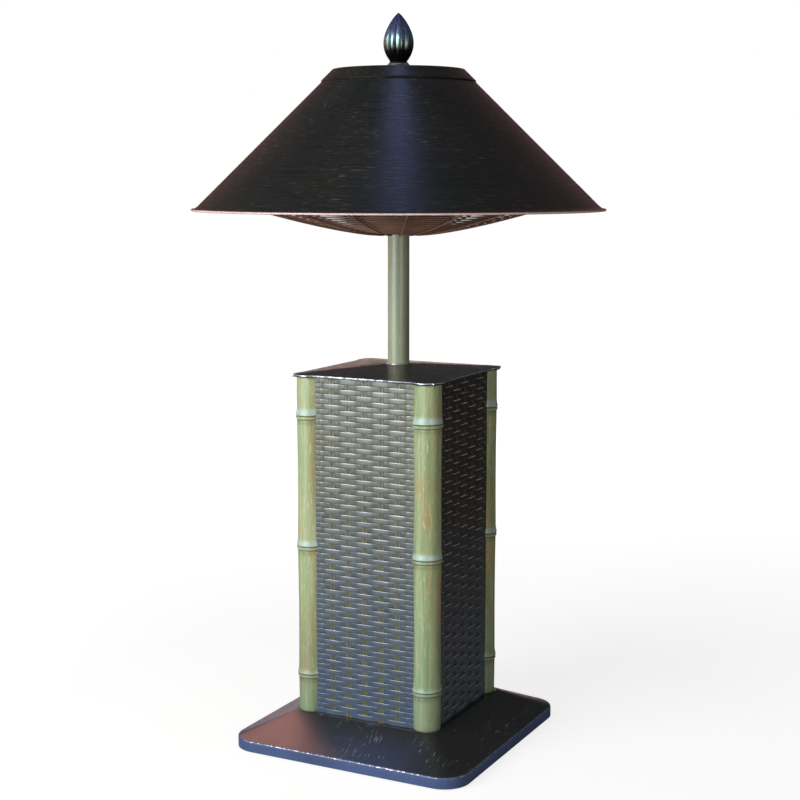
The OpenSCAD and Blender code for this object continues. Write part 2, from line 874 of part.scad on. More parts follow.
// radius of the bud at a distance below its tip
function bud(d) = max(finial_r * pow(sin(180 * pow(min(d / finial_full_h, 1), 1.183)), 0.647),
                      d > 55 ? 10.8 : 0);
finial_rows = 20;
finial_cols = finial_lobes * 6;
// the rows lie closer together towards the tip
function bud_point(i, k) =
    let (d = finial_h * pow(1 - i / finial_rows, 1.5), a = 360 * k / finial_cols,
         depth = 0.05 * min(1, d / 8) * min(1, max(0, (finial_h - d) / 12)),
         r = bud(d) * (1 - depth * (1 - abs(sin(finial_lobes * a / 2)))))
    [r * cos(a), r * sin(a), finial_tip_z - d];

module finial_bud() {
    points = concat(
        [for (i = [0:finial_rows - 1], k = [0:finial_cols - 1]) bud_point(i, k)],
        [[0, 0, finial_tip_z], [0, 0, finial_z0]]);
    tip = finial_rows * finial_cols;
    walls = [for (i = [0:finial_rows - 2], k = [0:finial_cols - 1])
        let (a = i * finial_cols + k, b = i * finial_cols + (k + 1) % finial_cols)
        [a, a + finial_cols, b + finial_cols, b]];
    crown = [for (k = [0:finial_cols - 1])
        let (a = (finial_rows - 1) * finial_cols)
        [a + k, tip, a + (k + 1) % finial_cols]];
    under = [for (k = [0:finial_cols - 1]) [k, (k + 1) % finial_cols, tip + 1]];
    polyhedron(points = points, faces = concat(walls, crown, under), convexity = 4);
}

module finial() {
    color(BRONZE)
        difference() {
            finial_bud();
            translate([0, 0, finial_z0 - 1]) cylinder(r = rod8 + fit_gap, h = rod8_top - finial_z0 + 3);
        }
}

// ---------- drawing ----------

base_pan();
base_plate();
ballast_bars();
base_feet();
base_standoffs();
base_screws();
tip_housing();
tip_plunger();
tip_spring();
tip_contact();
foot_tray();
head_tray();
post_front_left();
post_front_right();
post_back_right();
post_back_left();
post_plugs();
tie_rods();
tie_nuts();
panel_front();
panel_right();
panel_back();
panel_left();
column_cap();
pole();
pole_flange();
flange_bolts();
pole_collar();
switch_plate();
switch_body();
switch_rocker();
plate_screws();
cable_gland();
gland_nut();
terminal_block();
inner_leads();
pole_cable();
head_flange();
junction_can();
can_cover();
reflector();
heat_shield();
shield_spacers();
quartz_tube_a();
quartz_tube_b();
quartz_tube_c();
filaments();
tube_end_caps();
tube_clips();
head_leads();
guard_rings();
guard_spokes();
guard_hub();
shade();
shade_top();
shade_seat();
center_rod();
rod_nuts();
finial();
finial_collar();
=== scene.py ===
import json
import math
from contextlib import contextmanager

import bmesh
import bpy
from mathutils import Matrix, Vector, noise

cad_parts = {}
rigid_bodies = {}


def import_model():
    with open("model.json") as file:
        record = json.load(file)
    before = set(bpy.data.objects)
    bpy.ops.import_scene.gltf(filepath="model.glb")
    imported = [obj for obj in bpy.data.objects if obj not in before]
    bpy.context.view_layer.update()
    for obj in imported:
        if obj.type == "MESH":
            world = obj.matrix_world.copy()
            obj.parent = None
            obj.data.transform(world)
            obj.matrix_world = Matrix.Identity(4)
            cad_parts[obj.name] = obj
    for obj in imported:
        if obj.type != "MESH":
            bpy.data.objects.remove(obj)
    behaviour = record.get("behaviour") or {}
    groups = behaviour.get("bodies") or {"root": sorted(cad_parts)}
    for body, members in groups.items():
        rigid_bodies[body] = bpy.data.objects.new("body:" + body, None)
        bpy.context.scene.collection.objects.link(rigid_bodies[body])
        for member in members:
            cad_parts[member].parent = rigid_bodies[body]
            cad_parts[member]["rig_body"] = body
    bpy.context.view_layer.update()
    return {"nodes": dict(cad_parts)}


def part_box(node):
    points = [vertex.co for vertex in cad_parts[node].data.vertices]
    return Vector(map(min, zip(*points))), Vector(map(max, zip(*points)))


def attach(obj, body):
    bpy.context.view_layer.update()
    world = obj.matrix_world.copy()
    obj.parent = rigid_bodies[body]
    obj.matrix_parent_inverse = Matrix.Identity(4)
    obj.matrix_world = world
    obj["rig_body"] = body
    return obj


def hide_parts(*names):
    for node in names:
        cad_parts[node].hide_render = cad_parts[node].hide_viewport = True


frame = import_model()
nodes = frame["nodes"]
scene = bpy.context.scene
mm = 0.001
body = "stand"
print("frame loaded:", len(nodes), "nodes")

view = {
    "azimuth": 27.3, "distance": 1.972, "height": 0.7296, "lookSide": 0.0018, "lookHeight": 0.4443,
    "lens": 69.33,
}
studio = {
    "worldColor": (0.86, 0.93, 1, 1), "worldStrength": 0.08,
    "floorSize": 60.0, "floorNear": 0.81, "floorFar": 1.0, "floorFade": (0.5, 1.9),
    # name: place, aimed at, width, height over width, watts, colour
    "boxes": {
        "frontLeftBox": ((-0.95, -2.35, 1.2), (0, 0, 0.5), 1.9, 1.1, 82, (0.98, 1.0, 0.93)),
        "overheadBox": ((0, 0, 2.75), (0, 0, 0.8), 0.26, 1.0, 1.7, (0.26, 0.40, 1.0)),
        "warmBox": ((-2.6, 0.3, 1.0), (0, 0, 0.5), 1.2, 1.0, 8, (1.0, 0.50, 0.32)),
        "rightBox": ((2.3, -1.5, 0.75), (0, 0, 0.4), 0.9, 1.0, 14, (1.0, 0.90, 0.78)),
        "lowFrontBox": ((-1.5, -2.7, 0.35), (0, 0, 0.15), 1.3, 0.5, 9, (0.45, 0.60, 1.0)),
        "backBox": ((-1.5, 2.7, 0.36), (0, 0, 0.4), 1.8, 0.32, 10, (1.0, 0.70, 0.60)),
    },
}


def aimAt(obj, point):
    obj.rotation_euler = (Vector(point) - obj.location).to_track_quat("-Z", "Y").to_euler()


def addLight(name, place, target, width, stretch, watts, color):
    lamp = bpy.data.lights.new(name, "AREA")
    lamp.shape = "RECTANGLE"
    lamp.size = width
    lamp.size_y = width * stretch
    lamp.energy = watts
    lamp.color = color
    obj = bpy.data.objects.new(name, lamp)
    obj.location = place
    obj.visible_camera = False
    aimAt(obj, target)
    scene.collection.objects.link(obj)


def makeCamera():
    turn = math.radians(view["azimuth"])
    toCamera = Vector((math.sin(turn), -math.cos(turn), 0))
    side = Vector((math.cos(turn), math.sin(turn), 0))
    camera = bpy.data.objects.new("camera", bpy.data.cameras.new("camera"))
    camera.data.lens = view["lens"]
    camera.data.clip_end = 60
    camera.location = toCamera * view["distance"] + Vector((0, 0, view["height"])) + side * view["lookSide"]
    aimAt(camera, side * view["lookSide"] + Vector((0, 0, view["lookHeight"])))
    scene.collection.objects.link(camera)
    scene.camera = camera


def makeStudio():
    scene.view_settings.view_transform = "Standard"
    world = bpy.data.worlds.new("studio")
    world.use_nodes = True
    tree = world.node_tree
    tree.nodes.clear()
    seen = addNode(tree, "ShaderNodeBackground", {"Color": (1, 1, 1, 1), "Strength": 1.0})
    glow = {"Color": studio["worldColor"], "Strength": studio["worldStrength"]}
    lit = addNode(tree, "ShaderNodeBackground", glow)
    fromCamera = addNode(tree, "ShaderNodeLightPath").outputs["Is Camera Ray"]
    mix = addNode(tree, "ShaderNodeMixShader", {0: fromCamera, 1: lit.outputs[0], 2: seen.outputs[0]})
    addNode(tree, "ShaderNodeOutputWorld", {"Surface": mix.outputs[0]})
    scene.world = world
    half = studio["floorSize"] / 2
    corners = [(-half, -half, 0), (half, -half, 0), (half, half, 0), (-half, half, 0)]
    floorMesh = bpy.data.meshes.new("floor")
    floorMesh.from_pydata(corners, [], [(0, 1, 2, 3)])
    floorMesh.materials.append(floorMaterial())
    floor = bpy.data.objects.new("floor", floorMesh)
    scene.collection.objects.link(floor)
    for name, values in studio["boxes"].items():
        addLight(name, *values)


# pale floor that fades into the white backdrop
def floorMaterial():
    mat, tree, shader = startMaterial("paleFloor")
    away = addNode(tree, "ShaderNodeVectorMath", {0: ownPlace(tree)}, operation="LENGTH").outputs["Value"]
    glow = ramp(away, *studio["floorFade"], studio["floorNear"], studio["floorFar"])
    seen = addNode(tree, "ShaderNodeLightPath").outputs["Is Camera Ray"]
    setInputs(shader, {"Base Color": (0.30, 0.30, 0.31, 1), "Roughness": 0.9,
                       "Emission Color": (1, 1, 1, 1), "Emission Strength": multiply(glow, seen)})
    return mat


def isSocket(value):
    return isinstance(value, bpy.types.NodeSocket)


# links each socket and sets each plain value
def setInputs(node, inputs):
    for key, value in inputs.items():
        if isSocket(value):
            node.id_data.links.new(value, node.inputs[key])
        else:
            node.inputs[key].default_value = value


def addNode(tree, kind, inputs=None, **settings):
    node = tree.nodes.new(kind)
    for key, value in settings.items():
        setattr(node, key, value)
    setInputs(node, inputs or {})
    return node


# the node tree that the first socket among the values is in
def treeOf(*values):
    return next(value.id_data for value in values if isSocket(value))


def calc(operation, a, b=0.0):
    return addNode(treeOf(a, b), "ShaderNodeMath", {0: a, 1: b}, operation=operation).outputs[0]


def add(a, b):
    return calc("ADD", a, b)


def subtract(a, b):
    return calc("SUBTRACT", a, b)


def multiply(a, b):
    return calc("MULTIPLY", a, b)


def divide(a, b):
    return calc("DIVIDE", a, b)


def vector(x=0.0, y=0.0, z=0.0):
    return addNode(treeOf(x, y, z), "ShaderNodeCombineXYZ", {0: x, 1: y, 2: z}).outputs[0]


def partsOf(where):
    return addNode(treeOf(where), "ShaderNodeSeparateXYZ", {0: where}).outputs


def ramp(fac, low, high, first=0.0, last=1.0):
    given = {0: fac, 1: low, 2: high, 3: first, 4: last}
    return addNode(treeOf(fac), "ShaderNodeMapRange", given, clamp=True).outputs[0]


def startMaterial(name):
    mat = bpy.data.materials.new(name)
    mat.use_nodes = True
    mat.node_tree.nodes.clear()
    tree = mat.node_tree
    shader = addNode(tree, "ShaderNodeBsdfPrincipled")
    addNode(tree, "ShaderNodeOutputMaterial", {"Surface": shader.outputs[0]})
    return mat, tree, shader


def ownPlace(tree):
    return addNode(tree, "ShaderNodeTexCoord").outputs["Object"]


def noiseOf(where, detail=2.0, rough=0.5):
    given = {"Vector": where, "Scale": 1.0, "Detail": detail, "Roughness": rough}
    return addNode(treeOf(where), "ShaderNodeTexNoise", given).outputs["Fac"]


# noise in the object's own coordinates, or in where, drawn out by scale
def grainOf(tree, scale, detail=2.0, rough=0.5, where=None):
    place = where if where is not None else ownPlace(tree)
    mapped = addNode(tree, "ShaderNodeMapping", {"Vector": place, "Scale": scale}).outputs[0]
    return noiseOf(mapped, detail, rough)


def blendColor(fac, a, b):
    first, second = (color if isSocket(color) else (*color, 1) for color in (a, b))
    return addNode(treeOf(fac), "ShaderNodeMix", {0: fac, 6: first, 7: second}, data_type="RGBA").outputs[2]


def attribute(tree, name, output="Fac"):
    return addNode(tree, "ShaderNodeAttribute", attribute_name=name).outputs[output]


def bump(shader, height, distance, strength):
    given = {"Height": height, "Distance": distance, "Strength": strength}
    setInputs(shader, {"Normal": addNode(shader.id_data, "ShaderNodeBump", given).outputs[0]})


def finishMesh(mesh, angle=32):
    for face in mesh.polygons:
        face.use_smooth = True
    mesh.set_sharp_from_angle(angle=math.radians(angle))


def addPiece(name, mesh, material, replaced, on=body, angle=32):
    mesh.materials.clear()
    mesh.materials.append(material)
    if not mesh.has_custom_normals:
        finishMesh(mesh, angle)
    piece = bpy.data.objects.new(name, mesh)
    scene.collection.objects.link(piece)
    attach(piece, on)
    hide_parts(*replaced)
    return piece


def meshFrom(name, points, faces):
    mesh = bpy.data.meshes.new(name)
    mesh.from_pydata(points, [], faces)
    mesh.validate()
    return mesh


@contextmanager
def editing(mesh):
    work = bmesh.new()
    work.from_mesh(mesh)
    yield work
    work.to_mesh(mesh)
    work.free()


def tidyMesh(mesh):
    with editing(mesh) as work:
        bmesh.ops.remove_doubles(work, verts=work.verts, dist=1e-6)
        bmesh.ops.dissolve_degenerate(work, edges=work.edges, dist=1e-6)
        bmesh.ops.recalc_face_normals(work, faces=work.faces)


def splitAt(work, heights):
    for z in heights:
        whole = work.verts[:] + work.edges[:] + work.faces[:]
        bmesh.ops.bisect_plane(work, geom=whole, plane_co=(0, 0, z * mm), plane_no=(0, 0, 1))


# spins a closed outline in millimetres; shift(angle, r, z) moves a point of it
def spinMesh(name, outline, steps=128, center=(0, 0), shift=None):
    points = []
    for k in range(steps):
        angle = 2 * math.pi * k / steps
        for r, z in outline:
            if shift:
                r, z = shift(angle, r, z)
            x, y = (c * mm + r * mm * turn for c, turn in zip(center, (math.cos(angle), math.sin(angle))))
            points.append((x, y, z * mm))
    n = len(outline)
    faces = []
    for k in range(steps):
        a, b = k * n, (k + 1) % steps * n
        for i in range(n):
            j = (i + 1) % n
            faces.append((a + i, b + i, b + j, a + j))
    mesh = meshFrom(name, points, faces)
    tidyMesh(mesh)
    return mesh


def arc(cx, cz, r, start, end, count):
    turns = [math.radians(start + (end - start) * i / count) for i in range(count + 1)]
    return [(cx + r * math.cos(turn), cz + r * math.sin(turn)) for turn in turns]


def bakedMesh(obj):
    graph = bpy.context.evaluated_depsgraph_get()
    done = obj.evaluated_get(graph)
    mesh = bpy.data.meshes.new_from_object(done, preserve_all_data_layers=True, depsgraph=graph)
    bpy.data.objects.remove(obj)
    return mesh


# a centred node's reach, foot and top in millimetres
def roundBox(node):
    low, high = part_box(node)
    return high.x / mm, low.z / mm, high.z / mm


# a clean copy of a CAD node with its edges eased
def welded(node, name, bevel):
    mesh = nodes[node].data.copy()
    with editing(mesh) as work:
        bmesh.ops.remove_doubles(work, verts=work.verts, dist=2e-6)
        bmesh.ops.dissolve_limit(work, angle_limit=math.radians(1), verts=work.verts, edges=work.edges)
    finishMesh(mesh)
    holder = bpy.data.objects.new(name + "Work", mesh)
    scene.collection.objects.link(holder)
    easing = holder.modifiers.new("ease", "BEVEL")
    easing.width = bevel
    easing.segments = 2
    easing.limit_method = "ANGLE"
    easing.angle_limit = math.radians(40)
    easing.use_clamp_overlap = True
    easing.harden_normals = True
    mesh = bakedMesh(holder)
    mesh.name = name
    return mesh


# a new tree with named inputs for sizes, counts and objects, and its material's
def geometryTree(name, floats, ints=(), objects=()):
    tree = bpy.data.node_groups.new(name, "GeometryNodeTree")
    tree.interface.new_socket("Geometry", in_out="OUTPUT", socket_type="NodeSocketGeometry")
    for kind, labels in (("Object", objects), ("Float", floats), ("Int", ints), ("Material", ["Material"])):
        for label in labels:
            tree.interface.new_socket(label, in_out="INPUT", socket_type="NodeSocket" + kind)
    return tree, addNode(tree, "NodeGroupInput").outputs


def closeTree(geometry):
    tree = treeOf(geometry)
    material = addNode(tree, "NodeGroupInput").outputs["Material"]
    coated = addNode(tree, "GeometryNodeSetMaterial", {0: realized(geometry), "Material": material})
    addNode(tree, "NodeGroupOutput", {0: coated.outputs[0]})
    return tree


# makes a mesh with a tree; lengths are in millimetres
def runTree(name, tree, material, lengths, others):
    values = {**{label: length * mm for label, length in lengths.items()}, **others, "Material": material}
    holder = bpy.data.objects.new(name + "Work", bpy.data.meshes.new(name))
    scene.collection.objects.link(holder)
    maker = holder.modifiers.new("make", "NODES")
    maker.node_group = tree
    for socket in tree.interface.items_tree:
        if socket.in_out == "INPUT":
            maker[socket.identifier] = values[socket.name]
    mesh = bakedMesh(holder)
    mesh.name = name
    return mesh


def positionIn(tree):
    return addNode(tree, "GeometryNodeInputPosition").outputs[0]


def indexIn(tree):
    return addNode(tree, "GeometryNodeInputIndex").outputs[0]


def realized(geometry):
    return addNode(treeOf(geometry), "GeometryNodeRealizeInstances", {0: geometry}).outputs[0]


def stored(geometry, name, value, kind="FLOAT", domain="POINT"):
    given = {"Geometry": geometry, "Name": name, "Value": value}
    node = addNode(treeOf(geometry), "GeometryNodeStoreNamedAttribute", given, data_type=kind, domain=domain)
    return node.outputs[0]


def recalled(tree, name):
    return addNode(tree, "GeometryNodeInputNamedAttribute", {"Name": name}, data_type="FLOAT").outputs[0]


# moves points to a place, or by an offset
def moved(geometry, where, how="Offset"):
    return addNode(treeOf(geometry), "GeometryNodeSetPosition", {"Geometry": geometry, how: where}).outputs[0]


def lineOf(tree, count, start=(0, 0, 0), offset=(0, 0, 0)):
    given = {"Count": count, "Start Location": start, "Offset": offset}
    return addNode(tree, "GeometryNodeMeshLine", given).outputs[0]


def circleOf(tree, radius, sides):
    given = {"Resolution": sides, "Radius": radius}
    return addNode(tree, "GeometryNodeCurvePrimitiveCircle", given, mode="RADIUS").outputs[0]


def swept(path, section, caps=True):
    given = {"Curve": path, "Profile Curve": section, "Fill Caps": caps}
    return addNode(treeOf(path), "GeometryNodeCurveToMesh", given).outputs[0]


def copiesOn(points, shape, more=None):
    given = {"Points": points, "Instance": shape, **(more or {})}
    return addNode(treeOf(points), "GeometryNodeInstanceOnPoints", given).outputs[0]


# copies of a shape, spread evenly round the axis
def copiesRound(shape, count, first=0.0):
    tree = treeOf(shape)
    turn = add(divide(multiply(indexIn(tree), 2 * math.pi), count), first)
    return copiesOn(lineOf(tree, count), shape, {"Rotation": vector(0.0, 0.0, turn)})


makeCamera()
makeStudio()
print("camera and studio ready")


# bare metal and painted highlights where the mesh's wear-and-highlight attribute and the finest grain say so
def bareAndLitWhere(tree, chips, spread, low, high):
    return ramp(add(attribute(tree, "wearAndHighlight"), multiply(subtract(chips, 0.5), spread)), low, high)


# near-black enamel with brushed streaks, scratches, bare edges and painted edge highlights where the
# wear-and-highlight attribute is high, and painted warm and blue reflections
def enamelMaterial(name, streak, tint=(0.0125, 0.0135, 0.0145), bareAndLitColor=(0.50, 0.42, 0.41), rough=0.34,
                   metallic=0.0):
    mat, tree, shader = startMaterial(name)
    lines = grainOf(tree, streak, 6, 0.62)
    cloud = grainOf(tree, (7, 7, 7), 3)
    scratches = ramp(grainOf(tree, [s * 1.7 for s in streak], 2, 0.4), 0.63, 0.70)
    scratches = multiply(scratches, ramp(grainOf(tree, (23, 23, 31), 2), 0.48, 0.60))
    base = blendColor(ramp(lines, 0.3, 0.7), tint, [c * 1.9 for c in tint])
    base = blendColor(ramp(cloud, 0.42, 0.75, 0.0, 0.5), base, [c * f for c, f in zip(tint, (2.4, 1.7, 1.5))])
    base = blendColor(multiply(scratches, 0.75), base, (0.26, 0.27, 0.32))
    mottled = ramp(cloud, 0.3, 0.6, 0.6, 1.0)
    # painted reflections: a warm one and a blue one, laid where the mesh's attributes say
    for label, color in (("warmReflection", (0.36, 0.175, 0.165)), ("blueReflection", (0.072, 0.115, 0.285))):
        base = blendColor(multiply(attribute(tree, label), mottled), base, color)
    bareAndLit = bareAndLitWhere(tree, grainOf(tree, (260, 260, 260), 4, 0.65), 1.3, 0.55, 0.72)
    setInputs(shader, {
        "Base Color": blendColor(bareAndLit, base, bareAndLitColor), "Metallic": ramp(bareAndLit, 0.0, 1.0, metallic, 0.75),
        "Roughness": ramp(lines, 0.25, 0.8, rough - 0.07, rough + 0.12), "Specular IOR Level": 0.62,
    })
    bump(shader, subtract(lines, multiply(bareAndLit, 0.6)), 0.00022, 0.55)
    return mat


# enamel brushed round the axis: its noise is read along circles
def ringEnamel(name, rough):
    mat, tree, shader = startMaterial(name)
    parts = partsOf(ownPlace(tree))
    angle = calc("ARCTAN2", parts[0], multiply(parts[1], -1.0))
    around, across = calc("COSINE", angle), calc("SINE", angle)

    def circled(turns, rise):
        return vector(multiply(around, turns), multiply(across, turns), multiply(parts[2], rise))

    lines = noiseOf(circled(2.2, 620), 5, 0.7)
    fine = noiseOf(circled(9, 1500), 3, 0.6)
    scratch = noiseOf(circled(14, 900), 2, 0.45)
    cloud = noiseOf(circled(3, 16), 3)
    chips = grainOf(tree, (240, 240, 240), 4, 0.6)
    scratches = multiply(ramp(scratch, 0.60, 0.72), ramp(cloud, 0.30, 0.65))
    base = blendColor(ramp(lines, 0.3, 0.72), (0.0060, 0.0085, 0.0080), (0.0150, 0.0175, 0.0170))
    base = blendColor(ramp(cloud, 0.45, 0.8, 0.0, 0.45), base, (0.030, 0.023, 0.019))
    base = blendColor(multiply(scratches, 0.4), base, (0.13, 0.14, 0.16))
    bareAndLit = bareAndLitWhere(tree, chips, 0.9, 0.5, 0.7)
    base = blendColor(bareAndLit, base, (0.80, 0.60, 0.60))
    # painted highlight: a bright pink line along the rolled rim, drawn as a bare edge
    rimHighlight = multiply(attribute(tree, "rimHighlight"), ramp(chips, 0.3, 0.5, 0.7, 1.0))
    setInputs(shader, {
        "Base Color": blendColor(rimHighlight, base, (0.86, 0.62, 0.64)), "Metallic": multiply(bareAndLit, 0.3),
        "Roughness": ramp(lines, 0.25, 0.8, rough - 0.08, rough + 0.12), "Specular IOR Level": 0.65,
        "Specular Tint": (1.0, 0.82, 0.76, 1), "Sheen Weight": 0.45, "Sheen Roughness": 0.25,
        "Sheen Tint": (1.0, 0.30, 0.20, 1),
    })
    bump(shader, add(lines, multiply(fine, 0.5)), 0.0003, 0.5)
    return mat


# thin wash over tan, streaked upwards; band is the pale bloom above a node, with a painted highlight on the
# ridge below it; the dark mask darkens the groove at a node and paints shade under its ridge and at the
# post's foot
def washMaterial(name, palette, fibreStrength=1.0):
    mat, tree, shader = startMaterial(name)
    broad = grainOf(tree, (75, 75, 3), 3, 0.55)
    streaks = grainOf(tree, (260, 260, 9), 4, 0.65)
    fibres = grainOf(tree, (1100, 1100, 26), 3, 0.7)
    cloud = grainOf(tree, (34, 34, 13), 3)
    chips = grainOf(tree, (800, 800, 60), 4, 0.65)
    base = blendColor(ramp(broad, 0.36, 0.66), palette["deep"], palette["light"])
    for grain, low, high, strength, color in (
            (streaks, 0.50, 0.68, 0.8, "streak"), (cloud, 0.52, 0.72, 0.7, "tan"),
            (fibres, 0.43, 0.25, 0.7, "shadow"), (fibres, 0.68, 0.8, 0.5, "fleck"),
            (chips, 0.60, 0.66, 0.6, "fleck")):
        base = blendColor(ramp(grain, low, high, 0, strength * fibreStrength), base, palette[color])
    base = blendColor(ramp(partsOf(ownPlace(tree))[2], 0.22, 0.05, 0, 0.5), base, palette["foot"])
    pale = multiply(attribute(tree, "band"), ramp(streaks, 0.25, 0.6, 0.55, 1.0))
    base = blendColor(pale, base, palette["bloom"])
    base = blendColor(attribute(tree, "dirtAndShade"), base, palette["dirtAndShade"])
    setInputs(shader, {"Base Color": base, "Roughness": ramp(streaks, 0.2, 0.8, 0.30, 0.48),
                       "Coat Weight": 0.25, "Coat Roughness": 0.25})
    bump(shader, add(multiply(streaks, 0.6), multiply(fibres, 0.4)), 0.0005, 0.45 * fibreStrength)
    return mat


bambooPalette = {
    "deep": (0.245, 0.335, 0.165), "light": (0.43, 0.49, 0.275), "streak": (0.54, 0.52, 0.28),
    "tan": (0.44, 0.30, 0.13), "shadow": (0.10, 0.13, 0.045), "fleck": (0.84, 0.80, 0.60),
    "bloom": (0.44, 0.60, 0.60), "dirtAndShade": (0.050, 0.048, 0.018), "foot": (0.14, 0.25, 0.19),
}
polePalette = {
    "deep": (0.255, 0.300, 0.210), "light": (0.355, 0.39, 0.275), "streak": (0.40, 0.39, 0.27),
    "tan": (0.30, 0.25, 0.15), "shadow": (0.15, 0.165, 0.11), "fleck": (0.62, 0.62, 0.52),
    "bloom": (0.5, 0.55, 0.5), "dirtAndShade": (0.08, 0.08, 0.05), "foot": (0.25, 0.30, 0.21),
}
# the strip colours for the front and left, as lit from the front left
wickerLit = {
    "hollow": (0.112, 0.112, 0.078), "hollowDark": (0.070, 0.062, 0.042), "face": (0.105, 0.118, 0.100),
    "faceLight": (0.235, 0.250, 0.238), "foot": (0.052, 0.098, 0.190), "topEdgeHighlight": (0.44, 0.43, 0.43),
    "lowEdgeHighlight": (0.22, 0.22, 0.215), "metallic": 0.35, "footLine": 0.36,
}
# the same strips painted in shade for the right and back, with painted glints on their edges
wickerShaded = {
    "hollow": (0.040, 0.038, 0.026), "hollowDark": (0.022, 0.018, 0.013), "face": (0.020, 0.019, 0.018),
    "faceLight": (0.045, 0.043, 0.040), "foot": (0.095, 0.145, 0.200), "topEdgeHighlight": (1.0, 0.84, 0.82),
    "lowEdgeHighlight": (0.20, 0.18, 0.17), "metallic": 0.2, "footLine": 0.32,
}


# pressed strips, dark and olive in the hollows, with a painted highlight along their upper edge and a fainter
# one along the lower; edge is -1 to 1 up a strip
def wickerMaterial(name, look):
    mat, tree, shader = startMaterial(name)
    where = attribute(tree, "grain", "Vector")
    lift, tone, edge = (attribute(tree, label) for label in ("lift", "tone", "edge"))
    height = partsOf(where)[2]
    lines = grainOf(tree, (60, 60, 1500), 4, 0.65, where)
    cloud = grainOf(tree, (22, 22, 34), 3, where=where)
    broad = grainOf(tree, (9, 9, 5), 2, where=where)
    low = blendColor(ramp(cloud, 0.35, 0.7), look["hollow"], look["hollowDark"])
    high = blendColor(ramp(lines, 0.3, 0.75), look["face"], look["faceLight"])
    # painted shade: the lower part of each strip's face is drawn darker than its upper part
    high = blendColor(ramp(edge, -0.9, 0.7, 0.75, 0.0), high, look["face"])
    base = blendColor(ramp(lift, 0.25, 0.95), low, high)
    base = blendColor(ramp(tone, 0.0, 1.0, 0.0, 0.22), base, look["faceLight"])
    base = blendColor(ramp(broad, 0.42, 0.62, 0.0, 0.4), base, look["hollow"])
    # painted reflection: the strips turn bluish towards the bottom of the panel
    base = blendColor(ramp(height, look["footLine"], 0.06, 0.0, 0.7), base, look["foot"])
    patchy = ramp(grainOf(tree, (90, 90, 260), 2, where=where), 0.35, 0.6, 0.3, 1.0)
    # painted highlights on the strip edges, fading towards the bottom
    paintedGlint = multiply(ramp(lift, 0.5, 0.85), multiply(patchy, ramp(height, 0.12, 0.34, 0.5, 1.0)))
    base = blendColor(multiply(ramp(edge, 0.68, 0.9), paintedGlint), base, look["topEdgeHighlight"])
    base = blendColor(multiply(ramp(edge, -0.78, -0.95, 0.0, 0.6), paintedGlint), base, look["lowEdgeHighlight"])
    setInputs(shader, {"Base Color": base, "Metallic": look["metallic"],
                       "Roughness": ramp(lines, 0.2, 0.8, 0.26, 0.42)})
    bump(shader, lines, 0.0002, 0.5)
    return mat


def speckledMaterial(name, low, high, scale, roughness, metallic=0.0, depth=0.0001):
    mat, tree, shader = startMaterial(name)
    grain = grainOf(tree, (scale, scale, scale), 4, 0.6)
    mixed = add(multiply(grain, 0.6), multiply(grainOf(tree, (30, 30, 30), 2), 0.4))
    setInputs(shader, {"Base Color": blendColor(ramp(mixed, 0.3, 0.7), low, high), "Metallic": metallic,
                       "Roughness": ramp(grain, 0.25, 0.75, *roughness)})
    bump(shader, grain, depth, 0.5)
    return mat


# the flat uprights behind the strips; rib runs -1 to 1 across one, and its right edge gets a painted
# highlight
def stakeMaterial(name, low, high, edgeHighlight):
    mat, tree, shader = startMaterial(name)
    grain = grainOf(tree, (240, 240, 24), 4, 0.6)
    patchy = ramp(grainOf(tree, (60, 60, 150), 2), 0.35, 0.6, 0.3, 1.0)
    base = blendColor(ramp(grain, 0.3, 0.7), low, high)
    base = blendColor(multiply(ramp(attribute(tree, "rib"), 0.6, 0.85), patchy), base, edgeHighlight)
    setInputs(shader, {"Base Color": base, "Roughness": ramp(grain, 0.25, 0.75, 0.3, 0.45), "Metallic": 0.25})
    bump(shader, grain, 0.0002, 0.5)
    return mat


def quartzMaterial():
    mat, tree, shader = startMaterial("quartz")
    haze = grainOf(tree, (60, 60, 60), 3)
    setInputs(shader, {"Base Color": (0.95, 0.80, 0.66, 1), "Transmission Weight": 0.92, "IOR": 1.46,
                       "Roughness": ramp(haze, 0.3, 0.8, 0.03, 0.16)})
    return mat


budReflection = (
    # height in metres and colour, from the dark foot of the bud up to its tip
    (0.885, (0.014, 0.015, 0.016)), (0.893, (0.15, 0.20, 0.18)), (0.900, (0.30, 0.46, 0.54)),
    (0.908, (0.30, 0.42, 0.70)), (0.920, (0.24, 0.27, 0.66)), (0.930, (0.16, 0.15, 0.24)),
)


# dark glossy bronze with painted reflections: blue sky at the tip, a teal horizon band, and black ground at
# the foot
def budMaterial():
    mat, tree, shader = startMaterial("budEnamel")
    lines = grainOf(tree, (420, 420, 24), 4, 0.6)
    height = add(partsOf(ownPlace(tree))[2], multiply(subtract(lines, 0.5), 0.006))
    base = budReflection[0][1]
    for (low, _), (high, color) in zip(budReflection, budReflection[1:]):
        base = blendColor(ramp(height, low, high), base, color)
    base = blendColor(ramp(lines, 0.62, 0.42, 0, 0.45), base, (0.012, 0.014, 0.020))
    setInputs(shader, {"Base Color": base, "Metallic": 0.85, "Specular Tint": (1.0, 0.80, 0.74, 1),
                       "Roughness": ramp(lines, 0.3, 0.7, 0.2, 0.34)})
    bump(shader, lines, 0.0002, 0.5)
    return mat


